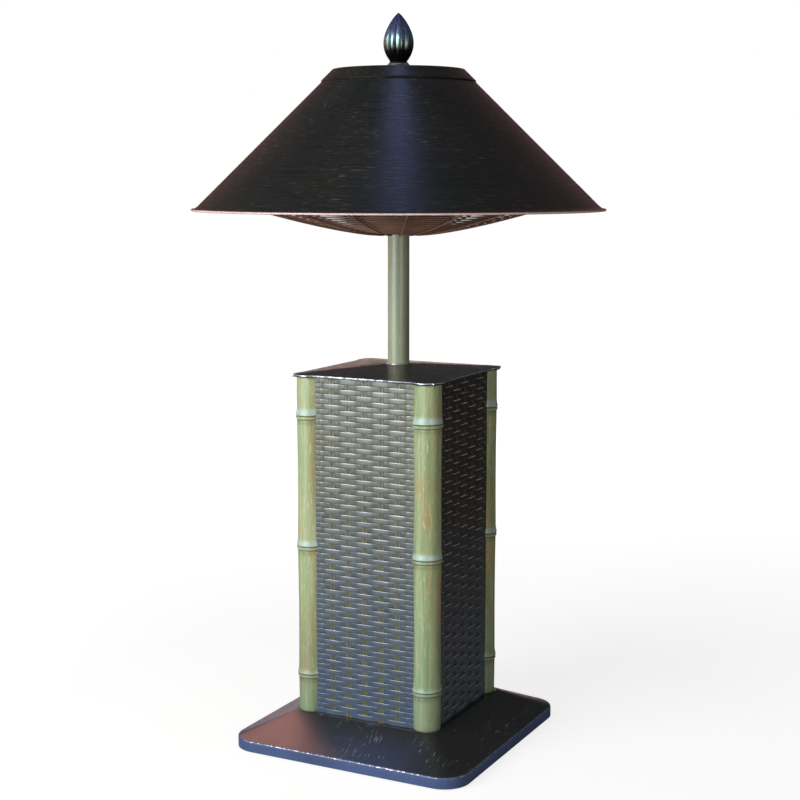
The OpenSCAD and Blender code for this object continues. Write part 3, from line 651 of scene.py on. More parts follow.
enamel = enamelMaterial("bronzeEnamel", (330, 34, 60), bareAndLitColor=(0.52, 0.45, 0.47))
shadeEnamel = ringEnamel("shadeEnamel", 0.29)
bamboo = washMaterial("bambooWash", bambooPalette)
poleWash = washMaterial("poleWash", polePalette, 0.6)
wickerLitSides = wickerMaterial("wickerLitSides", wickerLit)
wickerShadedSides = wickerMaterial("wickerShadedSides", wickerShaded)
quartz = quartzMaterial()
capEnamel = enamelMaterial("capEnamel", (90, 90, 300), (0.013, 0.014, 0.014), (0.60, 0.68, 0.76), 0.30)
plateEnamel = enamelMaterial("plateEnamel", (300, 40, 60))
finialEnamel = budMaterial()
collarEnamel = enamelMaterial("collarEnamel", (160, 160, 60), (0.022, 0.026, 0.034), (0.62, 0.70, 0.74), 0.26,
                              0.4)
# lit and painted-shade copies of the stake finish, each with a painted highlight along one edge
stakeLit = stakeMaterial("stakeLit", (0.085, 0.086, 0.056), (0.150, 0.146, 0.104), (0.20, 0.19, 0.155))
stakeShaded = stakeMaterial("stakeShaded", (0.030, 0.028, 0.024), (0.060, 0.054, 0.048), (0.62, 0.50, 0.48))

speckles = {
    # name: dark, light, grain per metre, roughness, metallic, depth of the grain
    "guardEnamel": ((0.17, 0.085, 0.055), (0.36, 0.20, 0.135), 900, (0.34, 0.55), 0.15),
    "zincSteel": ((0.36, 0.37, 0.38), (0.56, 0.56, 0.55), 420, (0.28, 0.45), 0.9),
    "castIron": ((0.030, 0.029, 0.028), (0.075, 0.068, 0.062), 260, (0.6, 0.85), 0.3, 0.0006),
    "rubber": ((0.013, 0.013, 0.013), (0.026, 0.026, 0.027), 700, (0.6, 0.85)),
    "blackPlastic": ((0.016, 0.016, 0.017), (0.030, 0.030, 0.031), 1400, (0.38, 0.55), 0.0, 0.00012),
    "redPlastic": ((0.38, 0.020, 0.014), (0.50, 0.035, 0.022), 500, (0.24, 0.36)),
    "nylon": ((0.62, 0.60, 0.52), (0.74, 0.72, 0.65), 500, (0.42, 0.55)),
    "sleeve": ((0.42, 0.38, 0.29), (0.62, 0.58, 0.47), 1800, (0.7, 0.9), 0.0, 0.0004),
    "reflectorSheet": ((0.66, 0.66, 0.67), (0.82, 0.82, 0.83), 90, (0.12, 0.28), 1.0, 0.0004),
    "ceramic": ((0.66, 0.63, 0.56), (0.80, 0.78, 0.72), 600, (0.5, 0.7)),
    "coilWire": ((0.10, 0.085, 0.075), (0.22, 0.19, 0.17), 700, (0.35, 0.5), 0.8),
    "canEnamel": ((0.010, 0.0095, 0.0095), (0.022, 0.019, 0.018), 300, (0.32, 0.5)),
    "sheetResin": ((0.012, 0.011, 0.010), (0.022, 0.020, 0.018), 300, (0.6, 0.8)),
    "brightRing": ((0.42, 0.44, 0.44), (0.75, 0.76, 0.74), 700, (0.25, 0.42), 0.7, 0.0003),
}
finishes = {name: speckledMaterial(name, *values) for name, values in speckles.items()}
finishes["plateEnamel"] = plateEnamel
guardFinish, steel, mirrorSheet = finishes["guardEnamel"], finishes["zincSteel"], finishes["reflectorSheet"]
coilWire, canEnamel, sheetFinish = finishes["coilWire"], finishes["canEnamel"], finishes["sheetResin"]
print("finishes ready")

baseShape = {
    "rim": 16.0, "rimGap": 1.5, "corner": 34.0, "edgeRound": 2.5, "deckCorner": 10.0, "wall": 1.5,
    "cornerSteps": 12, "sideSteps": 24,
    # the painted warm reflection ends on a line that crosses (-96, -100) and softens towards the front
    "patchX": 96, "patchY": 100, "patchLean": 1.15, "patchSoft": 5, "patchSpread": 0.14,
}


# points round a square with round corners, the same number for every size
def roundedSquare(half, radius, cornerSteps, sideSteps):
    inner = half - radius
    quarter = [(half, -inner + 2 * inner * i / sideSteps) for i in range(sideSteps)]
    quarter += arc(inner, inner, radius, 0, 90, cornerSteps)[:-1]
    points = []
    for turn in (math.radians(90 * k) for k in range(4)):
        c, s = math.cos(turn), math.sin(turn)
        points += [(x * c - y * s, x * s + y * c) for x, y in quarter]
    return points


def loftLoops(name, loops):
    n = len(loops[0])
    points = [p for loop in loops for p in loop]
    faces = []
    for i in range(len(loops) - 1):
        for k in range(n):
            a, b, after = i * n, (i + 1) * n, (k + 1) % n
            faces.append((a + k, a + after, b + after, b + k))
    mesh = meshFrom(name, points, faces)
    tidyMesh(mesh)
    return mesh


def setAttribute(mesh, name, values):
    layer = mesh.attributes.new(name, "FLOAT", "POINT")
    layer.data.foreach_set("value", values)


def makeBasePan():
    shape = baseShape
    half, _, deck = roundBox("base_pan")
    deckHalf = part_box("post_front_right")[1].x / mm
    er, wall, corner, rim, gap = (shape[key] for key in ("edgeRound", "wall", "corner", "rim", "rimGap"))
    deckCorner = shape["deckCorner"]

    def loop(size, radius, z):
        flat = roundedSquare(size, radius, shape["cornerSteps"], shape["sideSteps"])
        return [(x * mm, y * mm, z * mm) for x, y in flat]

    outer = [loop(half, corner, z) for z in (gap, 3.0, 8.0, rim - er)]
    for lean in (math.radians(14 * step) for step in range(1, 6)):
        inset = er * (1 - math.cos(lean))
        outer.append(loop(half - inset, corner - inset, rim - er + er * math.sin(lean)))
    for t in (i / 12 for i in range(1, 13)):
        size = half - er - (half - er - deckHalf) * t
        outer.append(loop(size, corner - er - (corner - er - deckCorner) * t, rim + (deck - 0.4 - rim) * t))
    outer += [loop(deckHalf - 0.6, deckCorner - 0.6, deck), loop(deckHalf - 24, 2, deck)]
    under = [loop(deckHalf - 24, 2, deck - wall), loop(deckHalf - 2, deckCorner - 2, deck - 0.4 - wall),
             loop(half - er - 1, corner - er - 1, rim - wall),
             loop(half - wall, corner - wall, rim - er - wall), loop(half - wall, corner - wall, gap)]
    mesh = loftLoops("basePan", outer + under + [outer[0]])
    wearAndHighlight, warmReflection, blueReflection = [], [], []
    for v in mesh.vertices:
        x, y, z = v.co / mm
        nearRim = math.exp(-((z - rim + 1.2) / 1.5) ** 2)
        nearFoot = math.exp(-((z - gap) / 0.8) ** 2)
        outside = max(abs(x), abs(y)) > half - 6
        wearAndHighlight.append((0.60 * nearRim + 0.34 * nearFoot) if outside else 0.0)
        # painted warm reflection on the left of the slopes, and painted blue sky reflection on the rim's
        # sides and parts of the slopes
        slope = 1 if z > rim - 0.4 else 0
        front = 1 if -y > abs(x) - 4 else 0
        left = 1 if -x > abs(y) + 2 else 0
        behind = y + shape["patchY"]
        past = (x + shape["patchX"] + shape["patchLean"] * behind) / max(
            shape["patchSoft"], shape["patchSoft"] - shape["patchSpread"] * behind)
        patch = 1 / (1 + math.exp(max(-30, min(30, past))))
        warmReflection.append(slope * patch * (1 if front else 0.35))
        lowness = max(0, (deck - z) / (deck - rim)) / (1 + math.exp((x - 95) / 14))
        blueReflection.append(0.9 * (1 - slope) + 0.34 * slope * front * (1 - patch) * lowness + 0.5 * slope * left)
    for name, values in (("wearAndHighlight", wearAndHighlight), ("warmReflection", warmReflection), ("blueReflection", blueReflection)):
        setAttribute(mesh, name, values)
    addPiece("basePan", mesh, enamel, ["base_pan"], angle=24)


# eased copies of CAD nodes, in rows of node, finish, slot and bevel
def simpleCopies(rows):
    for node, finish, slotName, bevel in rows:
        mesh, on = welded(node, node + "Body", bevel * mm), nodes[node]["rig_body"]
        addPiece(node + "Body", mesh, finishes[finish], [node], on)


makeBasePan()
simpleCopies([
    ("base_plate", "zincSteel", "zinc_steel", 0.5), ("ballast_bars", "castIron", "ballast_iron", 1.5),
    ("base_feet", "rubber", "black_rubber", 0.6), ("base_standoffs", "zincSteel", "zinc_steel", 0.3),
    ("tip_housing", "blackPlastic", "black_plastic", 0.4), ("tip_plunger", "redPlastic", "red_plastic", 0.5),
    ("tip_contact", "blackPlastic", "black_plastic", 0.5), ("foot_tray", "zincSteel", "zinc_steel", 0.4),
    ("head_tray", "zincSteel", "zinc_steel", 0.4), ("post_plugs", "rubber", "black_rubber", 0.5),
    ("tie_rods", "zincSteel", "zinc_steel", 0.4), ("tie_nuts", "zincSteel", "zinc_steel", 0.3),
    ("pole_flange", "zincSteel", "zinc_steel", 0.5), ("flange_bolts", "zincSteel", "zinc_steel", 0.3),
    ("terminal_block", "nylon", "terminal_plastic", 0.4), ("gland_nut", "blackPlastic", "black_plastic", 0.4),
])
for node in ("tip_spring", "inner_leads", "head_leads", "pole_cable"):
    nodes[node].data.materials.clear()
    nodes[node].data.materials.append(steel if node == "tip_spring" else finishes["sleeve"])
print("base and inner parts done")

screwRows = {
    # node: head radius, head height, shank radius, slot length, turn of the head towards its face
    "base_screws": (4.0, 2.2, 1.9, 4.4, math.pi),
    "plate_screws": (3.2, 1.75, 1.5, 3.6, -math.pi / 2),
}
screwSlot = {"Slot Width": 0.7, "Slot Depth": 1.1}


# four copies of a screw at the corners of an oblong, each with a cross cut into its head
def screwTree():
    sizes = ("Span X", "Span Y", "Slot Length", "Slot Width", "Slot Depth")
    tree, g = geometryTree("screws", sizes, objects=("Screw",))
    screw = addNode(tree, "GeometryNodeObjectInfo", {"Object": g["Screw"]}).outputs["Geometry"]
    deep = multiply(g["Slot Depth"], 2.0)
    bars = (vector(g["Slot Length"], g["Slot Width"], deep), vector(g["Slot Width"], g["Slot Length"], deep))
    cut = addNode(tree, "GeometryNodeMeshBoolean", {"Mesh 1": screw}, operation="DIFFERENCE")
    for size in bars:
        bar = addNode(tree, "GeometryNodeMeshCube", {"Size": size})
        tree.links.new(bar.outputs["Mesh"], cut.inputs["Mesh 2"])
    spans = {"Size X": g["Span X"], "Size Y": g["Span Y"], "Vertices X": 2, "Vertices Y": 2}
    corners = addNode(tree, "GeometryNodeMeshGrid", spans).outputs["Mesh"]
    return closeTree(copiesOn(corners, cut.outputs["Mesh"]))


def makeScrews():
    tree = screwTree()
    for node, (radius, rise, shank, slot, turn) in screwRows.items():
        low, high = (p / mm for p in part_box(node))
        down = turn == math.pi
        long = high.z - low.z if down else high.y - low.y
        dome = ((0, 0), (0.5, 0.04), (0.8, 0.16), (0.95, 0.38), (1, 0.62), (1, 1))
        outline = [(radius * r, -rise * z) for r, z in dome]
        outline += [(shank, -rise), (shank, 0.3 - long), (shank - 0.3, -long), (0, -long)]
        blank = bpy.data.objects.new(node + "Blank", spinMesh(node + "Blank", outline, 32))
        scene.collection.objects.link(blank)
        spanY = high.y - low.y if down else high.z - low.z
        lengths = {"Span X": high.x - low.x - 2 * radius, "Span Y": spanY - 2 * radius, "Slot Length": slot,
                   **screwSlot}
        made = runTree(node + "Set", tree, steel, lengths, {"Screw": blank})
        bpy.data.objects.remove(blank)
        face = Vector((0, 0, low.z) if down else (0, high.y, (low.z + high.z) / 2)) * mm
        made.transform(Matrix.Translation(face) @ Matrix.Rotation(turn, 4, "X"))
        addPiece(node + "Set", made, steel, [node])


makeScrews()
print("screws done")

postShape = {
    "centre": 83.0, "radius": 17.5, "bore": 14.0, "waist": 0.55, "shoulder": 1.5, "lower": 1.4, "groove": 1.1,
    "ridge": 0.45, "tilt": 0.55, "nodeHeights": (92.75, 261.75, 430.75), "steps": 96,
}


# radius at a height, and the height over the nearest node
def postRadius(z, shape):
    near = min((z - n for n in shape["nodeHeights"]), key=abs)
    r = shape["radius"] - shape["waist"] * (1 - math.exp(-near * near / 1800))
    swell, reach = (shape["shoulder"], 34) if near >= 0 else (shape["lower"], 16)
    r += swell * math.exp(-near * near / reach)
    r -= shape["groove"] * math.exp(-(near / 0.75) ** 2)
    r += shape["ridge"] * (math.exp(-((near + 3.3) / 0.8) ** 2) - 1.1 * math.exp(-((near + 5.0) / 0.9) ** 2))
    return r, near


def makePost(node, sx, sy, seed):
    shape = postShape
    low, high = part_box(node)
    z0, z1 = low.z / mm, high.z / mm
    heights = {z0, z0 + 0.5, z1 - 0.5, z1}
    z = z0 + 3
    while z < z1 - 2:
        near = min(abs(z - n) for n in shape["nodeHeights"])
        heights.add(round(z, 3))
        z += 0.35 if near < 2 else 0.6 if near < 7 else 1.5 if near < 16 else 5.0
    heights = sorted(heights)
    cx, cy = sx * shape["centre"], sy * shape["centre"]
    outline = [(postRadius(h, shape)[0] - (0.4 if h in (z0, z1) else 0), h) for h in heights]
    outline += [(shape["bore"], z1), (shape["bore"], z0)]

    def shift(angle, r, h):
        if r <= shape["bore"]:
            return r, h
        near = postRadius(h, shape)[1]
        where = Vector((math.cos(angle) * 1.3 + seed * 7, math.sin(angle) * 1.3, h * 0.02))
        r += 0.16 * noise.noise(where)
        if z0 + 2 < h < z1 - 2:
            h += shape["tilt"] * math.sin(angle + seed) * math.exp(-(near / 12) ** 2)
        return r, h

    mesh = spinMesh(node + "Culm", outline, shape["steps"], (cx, cy), shift)
    band, dirtAndShade = [], []
    for v in mesh.vertices:
        angle = math.atan2(v.co.y - cy * mm, v.co.x - cx * mm)
        h = v.co.z / mm
        if z0 + 2 < h < z1 - 2:
            h -= shape["tilt"] * math.sin(angle + seed)
        near = postRadius(h, shape)[1]
        ragged = 1.2 * noise.noise(Vector((angle * 3, seed, 0)))
        reach = 9.0 if h > 350 else 7.5 if h > 200 else 4.0
        pale = 1 / (1 + math.exp(-(near - 0.9) / 0.25)) / (1 + math.exp((near - reach - ragged) / 0.8))
        pale *= 1.0 if h > 200 else 0.6
        # painted highlight: a pale line on the ridge just below the node
        pale = max(pale, 0.55 * math.exp(-((near + 3.3) / 0.7) ** 2))
        # dark groove at the node, and painted shade under the ridge and at the post's foot
        sootAndShade = 0.95 * math.exp(-(near / 0.65) ** 2) + 0.6 * math.exp(-((near + 5.0) / 0.8) ** 2)
        sootAndShade += 0.3 * math.exp(-((near + 8.0) / 3.0) ** 2) + 0.5 * math.exp(-((h - z0) / 2.5) ** 2)
        band.append(0.8 * pale)
        dirtAndShade.append(min(1, sootAndShade))
    setAttribute(mesh, "band", band)
    setAttribute(mesh, "dirtAndShade", dirtAndShade)
    addPiece(node + "Culm", mesh, bamboo, [node], angle=60)


for seed, (node, sx, sy) in enumerate((("post_front_left", -1, -1), ("post_front_right", 1, -1),
                                       ("post_back_right", 1, 1), ("post_back_left", -1, 1))):
    makePost(node, sx, sy, seed + 1)
print("posts done")

weave = {
    "outer": 94.8, "halfWidth": 70.7, "openHalf": 65.0, "rows": 66, "rowGap": 0.12, "thick": 0.7,
    "swing": 0.7, "stakes": 5, "stakePitch": 23.3, "stakeWidth": 3.9, "stakeThick": 0.5, "stakeGap": 0.5,
    "behind": 0.35, "alongSteps": 90, "backIn": 92.52, "backOut": 92.66,
    # half width, foot and top of each opening: for the switch and for the gland
    "openings": {"back": [(11.5, 88, 120), (9, 61, 79)]},
}


# a flat strip's section: a circle squared off towards a rounded oblong
def stripProfile(tree, width, height, power=0.45, sides=14):
    place = partsOf(positionIn(tree))

    def squared(value, size):
        return multiply(multiply(calc("POWER", calc("ABSOLUTE", value), power), calc("SIGN", value)), size)

    target = vector(squared(place[0], width), squared(place[1], height), 0.0)
    return moved(circleOf(tree, 1.0, sides), target, "Position")


# strips that swing before and behind the uprights, one row a half turn after the other
def weaveTree():
    lengths = ("Outer", "Half Width", "Open Half", "Foot", "Row Pitch", "Strip Height", "Strip Thickness",
               "Swing", "Stake Pitch")
    tree, g = geometryTree("weave", lengths, ("Rows", "Steps", "Seed"))
    halfThick, halfHigh = (multiply(g["Strip " + label], 0.5) for label in ("Thickness", "Height"))
    step = divide(multiply(g["Half Width"], 2.0), subtract(g["Steps"], 1.0))
    line = lineOf(tree, g["Steps"], vector(multiply(g["Half Width"], -1.0)), vector(step))
    strip = addNode(tree, "GeometryNodeMeshToCurve", {0: line}).outputs[0]
    firstRow = add(g["Foot"], multiply(g["Row Pitch"], 0.5))
    rise = lineOf(tree, g["Rows"], vector(0, 0, firstRow), vector(0, 0, g["Row Pitch"]))
    loose = realized(stored(copiesOn(rise, strip), "row", indexIn(tree), domain="INSTANCE"))
    row = recalled(tree, "row")
    x = partsOf(positionIn(tree))[0]
    # swung is 1 before an upright and -1 behind it, and fades out at the ends
    wave = calc("COSINE", multiply(add(divide(x, g["Stake Pitch"]), row), math.pi))
    flat = multiply(calc("POWER", calc("ABSOLUTE", wave), 0.62), calc("SIGN", wave))
    fade = ramp(calc("ABSOLUTE", x), g["Open Half"], subtract(g["Open Half"], 0.003))
    swung = multiply(flat, fade)
    wobble = noiseOf(vector(multiply(x, 45.0), multiply(row, 3.7), g["Seed"]))
    back = add(halfThick, multiply(subtract(1.0, swung), g["Swing"]))
    shove = vector(0.0, subtract(back, g["Outer"]), multiply(subtract(wobble, 0.5), 0.0009))
    made = stored(moved(loose, shove), "lift", add(multiply(swung, 0.5), 0.5))
    column = calc("ROUND", divide(x, g["Stake Pitch"]))
    cell = {"Vector": vector(column, row, g["Seed"])}
    speck = addNode(tree, "ShaderNodeTexWhiteNoise", cell, noise_dimensions="3D").outputs["Value"]
    made = stored(made, "tone", speck)
    level = partsOf(positionIn(tree))[2]
    made = stored(made, "centre", level)
    upright = addNode(tree, "GeometryNodeSetCurveNormal", {"Curve": made}, mode="Z_UP").outputs[0]
    skin = swept(upright, stripProfile(tree, halfThick, halfHigh))
    skin = stored(skin, "grain", positionIn(tree), "FLOAT_VECTOR")
    return closeTree(stored(skin, "edge", divide(subtract(level, recalled(tree, "centre")), halfHigh)))


# pairs of flat uprights
def stakeTree():
    lengths = ("Outer", "Foot", "Top", "Pitch", "Width", "Thickness", "Gap", "Sink")
    tree, g = geometryTree("stakes", lengths, ("Count",))
    halfWide, halfThick = (multiply(g[label], 0.5) for label in ("Width", "Thickness"))
    side = multiply(multiply(g["Pitch"], subtract(g["Count"], 1.0)), -0.5)
    index = indexIn(tree)
    pair = calc("FLOOR", divide(index, 2.0))
    half = subtract(subtract(index, multiply(pair, 2.0)), 0.5)
    x = add(add(side, multiply(pair, g["Pitch"])), multiply(half, add(g["Width"], g["Gap"])))
    points = moved(lineOf(tree, multiply(g["Count"], 2.0)), vector(x, subtract(g["Sink"], g["Outer"]), 0.0))
    ends = {"Start": vector(0, 0, g["Foot"]), "End": vector(0, 0, g["Top"])}
    pole = addNode(tree, "GeometryNodeCurvePrimitiveLine", ends).outputs[0]
    skin = swept(pole, stripProfile(tree, halfWide, halfThick, 0.7, 12))
    skin = stored(skin, "rib", divide(partsOf(positionIn(tree))[0], halfWide))
    return closeTree(copiesOn(points, skin))


# opens the weave behind the switch and the gland, and closes the cut ends
def cutOpenings(mesh, openings, levels=()):
    with editing(mesh) as work:
        splitAt(work, levels)
        gone = []
        for w, low, high in openings:
            gone += [v for v in work.verts if abs(v.co.x) < w * mm and low * mm < v.co.z < high * mm]
        bmesh.ops.delete(work, geom=gone, context="VERTS")
        bmesh.ops.holes_fill(work, edges=[e for e in work.edges if e.is_boundary], sides=0)


# a flat closed sheet in X and Z with oblong openings
def backSheet(name, half, foot, top, openings):
    w = weave
    xs = sorted({-half, half} | {s * o[0] for o in openings for s in (-1, 1)})
    zs = sorted({foot, top} | {z for o in openings for z in o[1:]})
    work = bmesh.new()
    grid = {}
    for y in (w["backOut"], w["backIn"]):
        for x in xs:
            for z in zs:
                grid[x, y, z] = work.verts.new((x * mm, -y * mm, z * mm))
    for x0, x1 in zip(xs, xs[1:]):
        for z0, z1 in zip(zs, zs[1:]):
            mid = (x0 + x1) / 2, (z0 + z1) / 2
            if any(abs(mid[0]) < o[0] and o[1] < mid[1] < o[2] for o in openings):
                continue
            for y in (w["backOut"], w["backIn"]):
                work.faces.new([grid[x0, y, z0], grid[x1, y, z0], grid[x1, y, z1], grid[x0, y, z1]])
    # closes the edges between the outer side and the inner one
    inner = {grid[x, w["backOut"], z]: grid[x, w["backIn"], z] for x in xs for z in zs}
    for edge in [e for e in work.edges if e.is_boundary and e.verts[0] in inner]:
        a, b = edge.verts
        work.faces.new([a, b, inner[b], inner[a]])
    bmesh.ops.delete(work, geom=[v for v in work.verts if not v.link_faces], context="VERTS")
    bmesh.ops.recalc_face_normals(work, faces=work.faces)
    mesh = bpy.data.meshes.new(name)
    work.to_mesh(mesh)
    work.free()
    return mesh


def makePanels():
    w = weave
    low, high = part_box("panel_front")
    foot, top = low.z / mm, high.z / mm
    pitch = (top - foot) / w["rows"]
    strips, stakes = weaveTree(), stakeTree()
    stripSizes = {"Outer": w["outer"], "Half Width": w["halfWidth"], "Open Half": w["openHalf"], "Foot": foot,
                  "Row Pitch": pitch, "Strip Height": pitch - w["rowGap"], "Strip Thickness": w["thick"],
                  "Swing": w["swing"], "Stake Pitch": w["stakePitch"]}
    stakeSizes = {"Outer": w["outer"], "Foot": foot, "Top": top, "Pitch": w["stakePitch"],
                  "Gap": w["stakeGap"], "Width": w["stakeWidth"], "Thickness": w["stakeThick"],
                  "Sink": w["thick"] + w["behind"]}
    # front and left take the lit finishes, right and back the copies painted in shade
    sides = (("front", 0, wickerLitSides, stakeLit), ("right", 90, wickerShadedSides, stakeShaded),
             ("back", 180, wickerShadedSides, stakeShaded), ("left", -90, wickerLitSides, stakeLit))
    for seed, (side, turn, wicker, stakeFinish) in enumerate(sides):
        openings = w["openings"].get(side, [])
        counts = {"Rows": w["rows"], "Steps": w["alongSteps"], "Seed": seed + 3}
        woven = runTree(side + "Strips", strips, wicker, stripSizes, counts)
        uprights = runTree(side + "Stakes", stakes, stakeFinish, stakeSizes, {"Count": w["stakes"]})
        if openings:
            levels = [z for _, lo, hi in openings for z in (lo - 0.1, lo + 1, hi - 1, hi + 0.1)]
            cutOpenings(woven, openings)
            cutOpenings(uprights, openings, levels)
        sheet = backSheet(side + "Sheet", w["halfWidth"], foot, top, openings)
        for mesh, label, finish in (
                (woven, "Weave", wicker), (uprights, "Stakes", stakeFinish), (sheet, "Sheet", sheetFinish)):
            mesh.transform(Matrix.Rotation(math.radians(turn), 4, "Z"))
            addPiece(side + label, mesh, finish, ["panel_" + side], angle=40)


makePanels()
print("panels done")

capShape = {
    "cuts": (481.2, 482.2, 483.2, 483.9, 484.8, 486.5), "bevel": 0.45, "wornAndLitHeight": 482.8,
    "edge": 98.4, "earEdge": 19.9, "earFrom": 84.0,
}


def makeCap():
    c = capShape
    mesh = welded("column_cap", "columnCap", c["bevel"] * mm)
    with editing(mesh) as work:
        splitAt(work, c["cuts"])
        bmesh.ops.triangulate(work, faces=[f for f in work.faces if len(f.verts) > 4])
    wearAndHighlight = []
    for v in mesh.vertices:
        z, out = v.co.z / mm, max(abs(v.co.x), abs(v.co.y)) / mm
        ear = Vector(math.copysign(postShape["centre"] * mm, p) for p in v.co.xy)
        rim = out > c["edge"] or (v.co.xy - ear).length / mm > c["earEdge"] and out > c["earFrom"]
        # a continuous pale line round the cap's edge: painted highlight as well as worn paint
        wearAndHighlight.append(0.98 * math.exp(-((z - c["wornAndLitHeight"]) / 0.9) ** 2) if rim else 0.0)
    setAttribute(mesh, "wearAndHighlight", wearAndHighlight)
    # painted warm reflection towards the cap's left
    setAttribute(mesh, "warmReflection", [0.13 / (1 + math.exp((v.co.x / mm + 15) / 18)) for v in mesh.vertices])
    addPiece("columnCap", mesh, capEnamel, ["column_cap"], angle=28)


def spunPiece(name, outline, material, replaced, steps=160, angle=30):
    addPiece(name, spinMesh(name, outline, steps), material, replaced, angle=angle)


def makePole():
    wall, ease = 1.5, 0.3
    r, z0, z1 = roundBox("pole")
    rows = [z0 + ease + (z1 - z0 - 2 * ease) * i / 80 for i in range(81)]
    outline = [(r - wall, z0), (r - ease, z0)] + [(r, z) for z in rows] + [(r - ease, z1), (r - wall, z1)]
    spunPiece("polePipe", outline, poleWash, ["pole"], 128, 50)
    rc, z0, z1 = roundBox("pole_collar")
    outline = [(r + 0.05, z0), (rc - 0.1, z0), (rc, z0 + 0.2), (rc - 0.4, z1 - 0.5), (rc - 0.9, z1)]
    outline.append((r + 0.05, z1))
    spunPiece("poleCollar", outline, finishes["brightRing"], ["pole_collar"], 128)


rodHole = 4.3  # radius of the holes that the threaded rod goes through
makeCap()
makePole()
simpleCopies([
    ("switch_plate", "plateEnamel", "bronze_paint", 0.6),
    ("switch_body", "blackPlastic", "black_plastic", 0.4),
    ("switch_rocker", "redPlastic", "red_plastic", 0.5),
    ("cable_gland", "blackPlastic", "black_plastic", 0.4),
])
print("cap, pole and switch done")

guard = {
    "shape": {"Inner Radius": 34.0, "Outer Radius": 172.0, "Inner Height": 659.5, "Rise": 28.7},
    "spokeShape": {"Start": 27.0, "End": 175.4, "Top": 693.9, "Drop": 2.13},
    "curve": 1.35, "rings": 14, "wire": 1.0, "spokes": 16, "spokeWire": 1.1, "firstSpoke": 8.3,
}
guardFloats = (*guard["shape"], "Curve", "Wire")


def guardHeight(g, radius):
    share = divide(subtract(radius, g["Inner Radius"]), subtract(g["Outer Radius"], g["Inner Radius"]))
    bent = calc("POWER", calc("MAXIMUM", share, 0.0), g["Curve"])
    return add(g["Inner Height"], multiply(bent, g["Rise"]))


def ringTree():
    tree, g = geometryTree("guardRings", guardFloats, ("Count",))
    span = divide(subtract(g["Outer Radius"], g["Inner Radius"]), subtract(g["Count"], 1.0))
    size = add(g["Inner Radius"], multiply(span, indexIn(tree)))
    scale = {"Scale": vector(size, size, 1.0)}
    loose = realized(copiesOn(lineOf(tree, g["Count"]), circleOf(tree, 1.0, 128), scale))
    radius = addNode(tree, "ShaderNodeVectorMath", {0: positionIn(tree)}, operation="LENGTH").outputs["Value"]
    raised = moved(loose, vector(0, 0, guardHeight(g, radius)))
    return closeTree(swept(raised, circleOf(tree, g["Wire"], 10), caps=False))


# each spoke runs out under the rings, then up to the dish
def spokeTree():
    tree, g = geometryTree("guardSpokes", (*guardFloats, *guard["spokeShape"], "First Angle"), ("Count",))
    along, upright = 40, 4
    index = indexIn(tree)
    share = calc("MINIMUM", divide(index, along), 1.0)
    radius = add(g["Start"], multiply(subtract(g["End"], g["Start"]), share))
    under = subtract(guardHeight(g, radius), g["Drop"])
    upShare = calc("MAXIMUM", divide(subtract(index, along), upright), 0.0)
    height = add(under, multiply(upShare, subtract(g["Top"], under)))
    placed = moved(lineOf(tree, along + upright + 1), vector(radius, 0.0, height), "Position")
    path = addNode(tree, "GeometryNodeMeshToCurve", {0: placed}).outputs[0]
    path = addNode(tree, "GeometryNodeSetCurveNormal", {"Curve": path}, mode="MINIMUM_TWIST").outputs[0]
    return closeTree(copiesRound(swept(path, circleOf(tree, g["Wire"], 10)), g["Count"], g["First Angle"]))


def makeGuard():
    others = {"Curve": guard["curve"], "First Angle": math.radians(guard["firstSpoke"])}
    for name, tree, wire, count, more, node in (
            ("guardRings", ringTree(), "wire", "rings", {}, "guard_rings"),
            ("guardSpokes", spokeTree(), "spokeWire", "spokes", guard["spokeShape"], "guard_spokes")):
        lengths = {**guard["shape"], **more, "Wire": guard[wire]}
        mesh = runTree(name, tree, guardFinish, lengths, {**others, "Count": guard[count]})
        addPiece(name, mesh, guardFinish, [node], angle=60)


def makeHead():
    pole = roundBox("pole")[0]
    r, z0, z1 = roundBox("junction_can")
    outline = [(r - 6, z0), (r - 0.5, z0), (r, z0 + 0.5), (r, z1 - 0.3), (r - 0.3, z1), (r - 1, z1),
               (r - 1, z0 + 1), (r - 6, z0 + 1)]
    spunPiece("junctionCan", outline, canEnamel, ["junction_can"])
    _, z0, z1 = roundBox("can_cover")
    outline = [(pole + 0.3, z0), (pole + 1.2, z0), (r - 0.6, z1 - 1.4), (r, z1 - 0.9), (r, z1), (r - 0.8, z1),
               (pole + 0.3, z0 + 1.1)]
    spunPiece("canCover", outline, canEnamel, ["can_cover"])
    rim, z0, top = roundBox("reflector")
    z1 = top - 1
    low = [(rodHole, z0), (r + 1, z0), (r + 3, z0 + 3), (r + 9, z1 - 2.5), (r + 11, z1 - 0.4), (r + 13, z1),
           (148, z1), (150, z1 - 0.5), (152, z1 - 2), (165.5, z0 + 2.6), (167, z0 + 1), (rim - 0.3, z0 + 1),
           (rim, z0 + 1.3)]
    high = [(rim, z0 + 1.9), (rim - 0.2, z0 + 2), (167.8, z0 + 2), (166.6, z0 + 3), (152.9, z1 - 1.4),
            (150.7, z1 + 0.6), (148.2, top), (r + 12.8, top), (r + 10.2, z1 + 0.5), (r + 8, z1 - 2),
            (r + 2, z0 + 3.6), (r + 0.4, z0 + 1), (rodHole, z0 + 1)]
    spunPiece("reflectorDish", low + high, mirrorSheet, ["reflector"], 192, 35)
    r, z0, z1 = roundBox("heat_shield")
    outline = [(rodHole, z0), (r - 0.3, z0), (r, z0 + 0.3), (r, z1 - 0.3), (r - 0.3, z1), (rodHole, z1)]
    spunPiece("heatShield", outline, steel, ["heat_shield"])


coils = {"Half Length": 97.0, "Radius": 1.45, "Wire": 0.35, "Distance": 90.0, "Height": 702.0}


